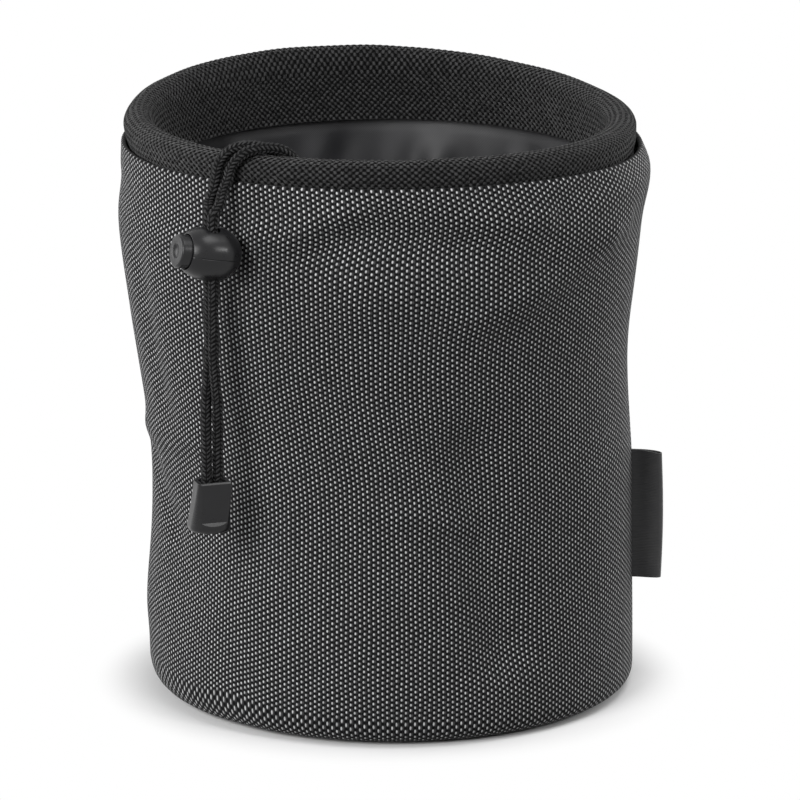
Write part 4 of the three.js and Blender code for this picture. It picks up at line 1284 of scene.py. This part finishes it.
class PEGBAG_OT_label(bpy.types.Operator):
    """Adds the bare ribbon label folded into the side seam"""

    bl_idname = "peg_bag.label"
    bl_label = "Side label"

    def execute(self, context):
        look = context.scene.peg_bag_cloth
        wall = float(wall_radius(SEAM_ANGLE, LABEL_BOTTOM + LABEL_TALL / 2))
        tip = wall + LABEL_STAND
        half = LABEL_TAIL / 2 - LABEL_THICK / 2
        loop = LABEL_LOOP - LABEL_THICK / 2
        start = wall - CLOTH - SEAM_DEPTH + 1
        leg = np.linspace(0, 1, 12)
        reach = start + (tip - loop - start) * leg
        bulge = half + (loop - half) * eased(0.45, 1, leg)
        bend = np.radians(np.linspace(-90, 90, 9))[1:-1]
        front = np.column_stack((reach, -bulge))
        turn = np.column_stack((tip - loop + loop * np.cos(bend), loop * np.sin(bend)))
        path = np.vstack((front, turn, front[::-1] * (1, -1)))
        run = run_along(path)
        label, across, along = flat_grid("side_label_ribbon", len(path) - 1, 28)
        number = step_number(across, len(path) - 1)
        out = (path[number, 0] - wall) / LABEL_STAND
        free = np.clip(out, 0, 1)
        bow = 0.5 * free * np.sin(np.pi * along)
        droop = -0.9 * free ** 2 * along
        sway = 0.7 * free ** 2 * np.sin(1.2 * np.pi * along + 0.4)
        points = np.column_stack((
            path[number, 0] + bow,
            path[number, 1] + sway,
            LABEL_BOTTOM + LABEL_TALL * along + droop + 0.25,
        ))
        wrap(label, about_z(points, SEAM_ANGLE), run[number] * MM, along * LABEL_TALL * MM)
        thicken(label, LABEL_THICK)
        smooth_faces(label, 60)
        ribbon = ribbed_tape("bare ribbon", look.label_colour, 0.0005, 0.5, 0.1)
        finish_piece(label, "bag", "label_ribbon", ribbon, "side_label")
        return {"FINISHED"}


class PEGBAG_OT_rim(bpy.types.Operator):
    """Adds the padded knit rim, a thick strip folded over, with its columns raised"""

    bl_idname = "peg_bag.rim"
    bl_label = "Knit rim"

    def execute(self, context):
        look = context.scene.peg_bag_rim
        inner = ROLL_THICK / 2 - KNIT
        tucked = [(LEAF_RADIUS, BODY_HEIGHT - LEAF_OUTER), (LEAF_RADIUS, BODY_HEIGHT - 6)]
        shown = np.vstack((tucked, self.even(76)))
        hidden = np.vstack((
            [(ROLL_RADIUS - inner, LEAF_BOTTOM)],
            self.over(inner, ROLL_TALL - KNIT, 8)[::-1],
            [(LEAF_RADIUS - KNIT, BODY_HEIGHT + GAP), (LEAF_RADIUS - KNIT, BODY_HEIGHT - LEAF_OUTER)],
        ))
        path = np.vstack((shown, hidden, shown[:1]))
        run = run_along(path)
        rim, across, along = flat_grid("rim_knit", 960, len(path) - 1)
        number = step_number(along, len(path) - 1)
        angle = across * 360
        around = 2 * np.pi * ROLL_RADIUS
        loops = round(around * MM / look.knit_wide / 2) * 2
        u = across * loops * look.knit_wide
        v = run[number] * MM
        away = np.gradient(path, axis=0)[number]
        away = np.column_stack((away[:, 1], -away[:, 0]))
        away /= np.maximum(np.linalg.norm(away, axis=1), 1e-9)[:, None]
        face = (number >= 2) & (number < len(shown) - 1)
        height = np.where(face, self.ridges(u, v, look), 0) * look.knit_depth / MM - 0.3 * face
        inset = np.where((number >= len(shown)) & (number < len(path) - 1), KNIT, 0)
        crest = (roll_tall(angle) - inset) / (ROLL_TALL - inset)
        above = path[number, 1] - ROLL_HEIGHT
        level = ROLL_HEIGHT + above * np.where(above > 0, crest, 1)
        radius = path[number, 0] + away[:, 0] * height
        level = level + away[:, 1] * height
        wrap(rim, leaned(polar(radius, angle, level)), u, v)
        weld(rim, turn_out=True)
        smooth_faces(rim, 70)
        finish_piece(rim, "bag", "knit_mesh", knit_cloth("thick knit", look), "rim_collar")
        return {"FINISHED"}

    def over(self, half, tall, steps):
        """The section's way over the roll, from outside to inside."""
        return arc_path(0, 0, 1, 0, 180, steps) * (half, tall) + (ROLL_RADIUS, ROLL_HEIGHT)

    def even(self, count):
        """Evenly spaced points from the body's edge, over the roll, down to the inner leaf's lower edge."""
        half = ROLL_THICK / 2
        leaf = [
            (LEAF_RADIUS, BODY_HEIGHT - 5.8),
            (LEAF_RADIUS + 0.9, BODY_HEIGHT - 3.6),
            (LEAF_RADIUS + 1.6, BODY_HEIGHT - 1.2),
        ]
        path = np.vstack((leaf, self.over(half, ROLL_TALL, 48), [(ROLL_RADIUS - half, LEAF_BOTTOM)]))
        run = run_along(path)
        stops = np.linspace(0, run[-1], count)
        return np.column_stack([np.interp(stops, run, path[:, axis]) for axis in range(2)])

    def ridges(self, u, v, look):
        """Ridges of the knit's columns, which wander a little, and soft lumps."""
        wander = 0.35 * np.sin(v / 0.0031 + u / 0.017) + 0.25 * np.sin(v / 0.0017 + u / 0.0093)
        ridge = 0.5 + 0.5 * np.cos(2 * np.pi * (u / look.knit_wide) + wander)
        lumps = np.sin(u / 0.0049 + 2 * np.sin(v / 0.006)) * np.sin(v / 0.0037 + np.sin(u / 0.0121))
        return 0.65 * ridge + 0.35 * lumps


class PEGBAG_OT_skirt(bpy.types.Operator):
    """Adds the thin closing cloth that hangs inside, with its casing around the cord"""

    bl_idname = "peg_bag.skirt"
    bl_label = "Closing skirt"

    def execute(self, context):
        look = context.scene.peg_bag_cloth
        sewn = ROLL_RADIUS - ROLL_THICK / 2 + KNIT + GAP + NYLON / 2
        wrap_radius = CORD / 2 + CASING_EASE + NYLON / 2
        lap = LEAF_BOTTOM + np.array((SKIRT_LAP, SKIRT_LAP / 2, 0))
        hang = np.linspace(LEAF_BOTTOM - 2, CASING_HEIGHT + 4, 44)
        turn = np.radians(np.linspace(0, -CASING_WRAP, 15))
        levels = np.concatenate((lap, hang, np.full(len(turn), hang[-1])))
        bends = np.concatenate((np.zeros(len(lap) + len(hang)), turn))
        skirt, across, along = flat_grid("closing_skirt_cloth", 384, len(levels) - 1)
        number = step_number(along, len(levels) - 1)
        angle = TAIL_ANGLE + 360 * across
        casing = skirt_radius(angle)
        in_lap = number < len(lap)
        in_turn = number >= len(lap) + len(hang)
        down = np.clip((hang[0] - levels[number]) / (hang[0] - hang[-1]), 0, 1)
        radius = sewn + (casing - sewn) * (0.35 * down + 0.65 * np.sqrt(down))
        radius = np.where(in_lap, sewn, radius + self.puckers(angle, down))
        bend = bends[number]
        radius = np.where(in_turn, casing - wrap_radius + wrap_radius * np.cos(bend), radius)
        height = np.where(in_turn, CASING_HEIGHT + wrap_radius * np.sin(bend), levels[number])
        top = LEAF_BOTTOM + SKIRT_LAP
        run = np.where(in_turn, top - CASING_HEIGHT + wrap_radius * np.abs(bend), top - height)
        wide = 2 * np.pi * ROLL_RADIUS * MM
        wrap(skirt, leaned(polar(radius, angle, height)), across * wide, run * MM)
        weld(skirt)
        thicken(skirt, SKIRT_THICK)
        smooth_faces(skirt, 60)
        finish_piece(skirt, "bag", "thin_nylon", thin_nylon("thin nylon", look), "closing_skirt")
        return {"FINISHED"}

    def puckers(self, angle, down):
        """Small gathers that the cord leaves in the cloth, none at the sewn edge."""
        turn = np.radians(angle)
        waves = np.cos(21 * turn + 0.8) + 0.7 * np.cos(34 * turn + 2.1 + 2 * down)
        waves = waves + 0.5 * np.cos(13 * turn + 4)
        return 0.75 * waves * eased(0, 0.2, down) * eased(1.05, 0.85, down) - 0.6 * eased(0, 0.4, down)


def turned_piece(name, profile, sides=72):
    """A ring of points, extruded and resized along the X axis through a profile of (along, radius)."""
    along, radius = profile[0]
    obj = named_primitive(
        name, bpy.ops.mesh.primitive_circle_add, vertices=sides, radius=radius * MM, fill_type="NOTHING",
        rotation=(0, math.pi / 2, 0), location=(along * MM, 0, 0),
    )
    settle(obj)
    edit(obj)
    bpy.ops.mesh.select_all(action="SELECT")
    for (before, small), (after, large) in zip(profile, profile[1:]):
        bpy.ops.mesh.extrude_edges_move(TRANSFORM_OT_translate={"value": ((after - before) * MM, 0, 0)})
        share = max(large, 1e-5) / max(small, 1e-5)
        bpy.ops.transform.resize(value=(1, share, share), center_override=(after * MM, 0, 0))
    bpy.ops.mesh.select_all(action="SELECT")
    bpy.ops.mesh.remove_doubles(threshold=2e-6)
    bpy.ops.mesh.fill_holes(sides=0)
    bpy.ops.mesh.normals_make_consistent(inside=False)
    done()
    return obj


def lock_place(obj):
    """Turns a piece made along +X to the button's direction and moves it to the lock."""
    obj.rotation_euler = (0, -math.radians(LOCK_TILT), math.radians(BUTTON_ANGLE))
    obj.location = Vector(ball_centre()) * MM
    settle(obj)


def rounded(centre, size, start, end, steps):
    """Part of a circle in a profile of (along, radius)."""
    turn = np.radians(np.linspace(start, end, steps + 1))
    return [(centre[0] + size * math.cos(t), centre[1] + size * math.sin(t)) for t in turn]


class PEGBAG_OT_cord_lock(bpy.types.Operator):
    """Adds the cord lock's barrel and its button, and finishes its spring"""

    bl_idname = "peg_bag.cord_lock"
    bl_label = "Cord lock"

    def execute(self, context):
        look = context.scene.peg_bag_hardware
        plastic = moulded_plastic("moulded plastic", look)
        self.ball(plastic)
        self.button(plastic)
        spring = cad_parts["lock_spring"]
        spring.data.materials.clear()
        spring.data.materials.append(spring_wire("spring wire"))
        seat = (ball_centre() + button_direction() * POCKET_FLOOR) * MM
        button_direction()
        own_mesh(spring)
        return {"FINISHED"}

    def ball(self, plastic):
        """A barrel with one round end, a stepped bore, a hole for the cords and a parting line."""
        mouth = BORE_RADIUS + MOUTH_LIP
        edge = 0.12
        shell = rounded((0, 0), BALL_SEEN, 179.6, 90, 30)
        shell += [(place, self.outside(place)) for place in np.linspace(0, BARREL_LONG - edge, 24)[1:]]
        lip = [
            (BARREL_LONG - edge / 3, mouth - edge / 4),
            (BARREL_LONG, mouth - edge),
            (BARREL_LONG, BORE_RADIUS + edge),
            (BARREL_LONG - edge / 3, BORE_RADIUS + edge / 4),
            (BARREL_LONG - edge, BORE_RADIUS),
        ]
        bore = [
            (BORE_FLOOR, BORE_RADIUS),
            (BORE_FLOOR, POCKET_RADIUS),
            (POCKET_FLOOR, POCKET_RADIUS),
            (POCKET_FLOOR, 0.01),
        ]
        obj = turned_piece("lock_ball", shell + lip + bore, 96)
        cut_with(obj, self.pair_hole("pair_hole", 2 * BALL_RADIUS + 4))
        edit(obj)
        bpy.ops.mesh.select_all(action="SELECT")
        bpy.ops.mesh.bisect(plane_co=(0, 0, PARTING_HEIGHT * MM), plane_no=(0, 0, 1))
        bpy.ops.mesh.bevel(offset=0.16 * MM, segments=2, affect="EDGES", profile=0.5)
        done()
        self.groove(obj)
        lock_place(obj)
        smooth_faces(obj, 38)
        finish_piece(obj, "cord_lock", "black_plastic", plastic, "lock_barrel")

    def outside(self, along):
        """Radius of the barrel's outside between its round end and its mouth."""
        narrowing = BALL_SEEN - BORE_RADIUS - MOUTH_LIP
        return BALL_SEEN - narrowing * (np.clip(along, 0, BARREL_LONG) / BARREL_LONG) ** BARREL_CURVE

    def groove(self, obj):
        """Sinks the parting line a little."""
        place = vertex_places(obj)
        behind = np.minimum(place[:, 0] / MM, 0)
        far = np.hypot(place[:, 1], place[:, 2]) / MM
        shell = np.sqrt(np.maximum(self.outside(place[:, 0] / MM) ** 2 - behind ** 2, 0))
        on_line = (np.abs(place[:, 2] - PARTING_HEIGHT * MM) < 0.03 * MM) & (far > shell - 0.2)
        place[on_line] *= 1 - PARTING_DEEP / BALL_RADIUS
        move_vertices(obj, place)

    def pair_hole(self, name, tall):
        """An upright slot with round ends, wide enough for two cords."""
        radius = (CORD / 2 + GAP + HOLE_EASE) * MM
        cutter = named_primitive(
            name, bpy.ops.mesh.primitive_cylinder_add, vertices=48, radius=radius, depth=tall * MM
        )
        place = vertex_places(cutter)
        place[:, 1] += np.sign(np.round(place[:, 1], 7)) * PAIR_HALF * MM
        move_vertices(cutter, place)
        cutter.location = (CORD_PLACE * MM, 0, 0)
        cutter.rotation_euler = (0, math.radians(LOCK_TILT), 0)
        settle(cutter)
        return cutter

    def button(self, plastic):
        """A plunger with a dished end and a slot for the cords."""
        inner = BUTTON_INNER
        outer = BUTTON_OUTER
        edge = 0.9
        slope = 0.4
        dish = BUTTON_RADIUS - BUTTON_RING
        profile = (
            [(inner, 0.01), (inner, BUTTON_RADIUS - slope), (inner + slope, BUTTON_RADIUS)]
            + rounded((outer - edge, BUTTON_RADIUS - edge), edge, 90, 0, 8)
            + [(outer - 0.03, dish + 0.3), (outer - 0.14, dish), (outer - 0.5, dish - 0.3)]
            + [(outer - 0.72, dish - 0.7), (outer - BUTTON_RECESS, 0.01)]
        )
        obj = turned_piece("lock_plunger", profile, 72)
        middle = (SLOT_INNER + SLOT_OUTER) / 2 * MM
        slot = named_primitive("slot", bpy.ops.mesh.primitive_cube_add, size=1, location=(middle, 0, 0))
        slot.scale = ((SLOT_OUTER - SLOT_INNER) * MM, 7.5 * MM, 20 * MM)
        slot.rotation_euler = (0, math.radians(LOCK_TILT), 0)
        settle(slot)
        cut_with(obj, slot)
        lock_place(obj)
        smooth_faces(obj, 38)
        finish_piece(obj, "lock_plunger", "black_plastic", plastic, "lock_button")


class PEGBAG_OT_cord_end(bpy.types.Operator):
    """Adds the cord end: a flared cap with a flat front and a ledge, and finishes its wedge"""

    bl_idname = "peg_bag.cord_end"
    bl_label = "Cord end"

    def execute(self, context):
        look = context.scene.peg_bag_hardware
        plastic = moulded_plastic("cord end plastic", look)
        cap = self.cap()
        cap.rotation_euler = (0, 0, math.radians(CAP_TURN))
        place = pair_axis()
        cap.location = Vector((place[0], place[1], cap_bottom())) * MM
        settle(cap)
        smooth_faces(cap, 35)
        finish_piece(cap, "bag", "black_plastic", plastic, "cord_end_cap")
        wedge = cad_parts["cord_end_wedge"]
        wedge.data.materials.clear()
        wedge.data.materials.append(plastic)
        return {"FINISHED"}

    def cap(self):
        """A flared and bowed cylinder, cut flat above a ledge, with a hollow for the cords."""
        wide = PAIR_HALF + CORD / 2 + GAP
        deep = CORD / 2 + GAP
        face = deep + CAP_WALL
        cap = named_primitive(
            "cord_end", bpy.ops.mesh.primitive_cylinder_add, vertices=128, radius=MM, depth=CAP_TALL * MM,
            location=(0, 0, CAP_TALL / 2 * MM),
        )
        settle(cap)
        edit(cap)
        for level in (0.08, 0.25, 0.5, 0.9, 1.5, 2.4, 3.6, 5.2, 7.2, 9.6, 12.2):
            bpy.ops.mesh.select_all(action="SELECT")
            bpy.ops.mesh.bisect(plane_co=(0, 0, level * MM), plane_no=(0, 0, 1))
        done()
        self.shape(cap, wide + CAP_WALL, face)
        cut_with(cap, self.front_block(face))
        hollow = named_primitive("hollow", bpy.ops.mesh.primitive_cube_add, size=1)
        hollow.scale = (2 * wide * MM, (2 * deep + 0.6) * MM, CAP_TALL * MM)
        hollow.location = (0, 0.3 * MM, (CAP_FLOOR + CAP_TALL / 2) * MM)
        settle(hollow)
        cut_with(cap, hollow)
        sharp = math.radians(38)
        apply_modifier(cap, "BEVEL", width=0.4 * MM, segments=3, limit_method="ANGLE", angle_limit=sharp)
        cut_with(cap, self.top_edge(face))
        return cap

    def top_edge(self, face):
        """What is taken off the upper edge of the front."""
        block = named_primitive("top_edge", bpy.ops.mesh.primitive_cube_add, size=20 * MM)
        out = 10 / math.sqrt(2)
        block.location = (0, (CAP_EDGE - face - out) * MM, (CAP_TALL - CAP_EDGE + out) * MM)
        block.rotation_euler = (math.radians(45), 0, 0)
        settle(block)
        return block

    def shape(self, cap, wide, deep):
        """Moves each ring of the cylinder to the cap's outline there: flared, bowed and round at the foot."""
        place = vertex_places(cap) / MM
        share = np.arctan2(place[:, 1], place[:, 0]) / (2 * np.pi) % 1
        for level in np.unique(np.round(place[:, 2], 3)):
            ring = np.abs(place[:, 2] - level) < 0.002
            down = 1 - level / CAP_TALL
            foot = max(1 - level / CAP_ROUND, 0)
            tuck = CAP_ROUND * (1 - math.sqrt(1 - foot * foot))
            grow = CAP_FLARE * max(down, 0) ** 1.3 - tuck
            uneven = max(grow, 0) * (1 - CAP_SIDE) / 2
            front = deep + 0.5 + 0.5 * down - tuck
            loop = self.outline(wide + grow + 0.2 - uneven, front, deep + grow + 1.1, down)
            run = run_along(loop)
            place[ring, 0] = np.interp(share[ring] * run[-1], run, loop[:, 0]) - uneven
            place[ring, 1] = np.interp(share[ring] * run[-1], run, loop[:, 1])
            place[ring, 2] -= CAP_DROP * down ** 2
        move_vertices(cap, place * MM)

    def outline(self, wide, front, back, down):
        """A closed loop with two round corners at the back, and a front that bows out towards the foot."""
        loop = [(wide, 0)]
        y = back - CAP_CORNER
        for x, start in ((wide - CAP_CORNER, 0), (CAP_CORNER - wide, 90)):
            for turn in np.radians(np.linspace(start, start + 90, 17)):
                loop.append((x + CAP_CORNER * math.cos(turn), y + CAP_CORNER * math.sin(turn)))
        for turn in np.linspace(0, math.pi, 61):
            side = math.cos(turn)
            bow = CAP_BOW * down + (CAP_BOW_LEFT if side > 0 else CAP_BOW_RIGHT)
            blunt = CAP_BLUNT_LEFT if side > 0 else CAP_BLUNT_RIGHT
            blunt = blunt + (1 - blunt) * down
            x = -wide * math.copysign(abs(side) ** blunt, side)
            loop.append((x, bow - front - bow * max(math.sin(turn), 0) ** blunt))
        return np.array(loop + [(wide, 0)])

    def front_block(self, face):
        """What is taken off the front above the ledge, with a slanted lower edge."""
        block = named_primitive("front_block", bpy.ops.mesh.primitive_cube_add, size=1)
        block.scale = (30 * MM, 12 * MM, 20 * MM)
        ledge = CAP_LEDGE - CAP_DROP - CAP_LEDGE_DROP
        block.location = (0, (-face - 6) * MM, (ledge + 10) * MM)
        settle(block)
        for line in block.data.edges:
            ends = [block.data.vertices[i].co for i in line.vertices]
            line.select = all(p.y > (-face - 0.1) * MM and p.z < (ledge + 0.1) * MM for p in ends)
        edit(block)
        bpy.ops.mesh.bevel(offset=CAP_RAMP * MM, segments=1, affect="EDGES")
        done()
        return block


class PEGBAG_PT_sidebar(bpy.types.Panel):
    """Lists the pieces of the bag and their settings"""

    bl_label = "Peg Bag"
    bl_idname = "PEGBAG_PT_sidebar"
    bl_space_type = "VIEW_3D"
    bl_region_type = "UI"
    bl_category = "Peg Bag"

    def draw(self, context):
        for operator in OPERATORS:
            self.layout.operator(operator.bl_idname)
        for name, group in GROUPS.items():
            box = self.layout.box()
            box.label(text=group.__doc__)
            for key in group.__annotations__:
                box.prop(getattr(context.scene, name), key)


OPERATORS = (
    PEGBAG_OT_stage,
    PEGBAG_OT_drawcord,
    PEGBAG_OT_wall,
    PEGBAG_OT_base,
    PEGBAG_OT_bindings,
    PEGBAG_OT_label,
    PEGBAG_OT_rim,
    PEGBAG_OT_skirt,
    PEGBAG_OT_cord_lock,
    PEGBAG_OT_cord_end,
)
CLASSES = (*GROUPS.values(), *OPERATORS, PEGBAG_PT_sidebar)


def register():
    for cls in CLASSES:
        bpy.utils.register_class(cls)
    for name, group in GROUPS.items():
        setattr(bpy.types.Scene, name, bpy.props.PointerProperty(type=group))


def unregister():
    for name in GROUPS:
        delattr(bpy.types.Scene, name)
    for cls in reversed(CLASSES):
        bpy.utils.unregister_class(cls)


def declare_tails():
    """Works out the line of each free tail, and uses it no further."""
    for name, over_rim, side in (("left", LEFT_OVER_RIM, -1), ("right", RIGHT_OVER_RIM, 1)):
        line = tail_line(over_rim, side) * MM


def main():
    register()
    bpy.ops.peg_bag.stage()
    bpy.ops.peg_bag.drawcord()
    bpy.ops.peg_bag.wall()
    bpy.ops.peg_bag.base()
    bpy.ops.peg_bag.bindings()
    bpy.ops.peg_bag.label()
    bpy.ops.peg_bag.rim()
    bpy.ops.peg_bag.skirt()
    bpy.ops.peg_bag.cord_lock()
    bpy.ops.peg_bag.cord_end()
    declare_tails()
    deselect_all()


if __name__ == "__main__":
    main()
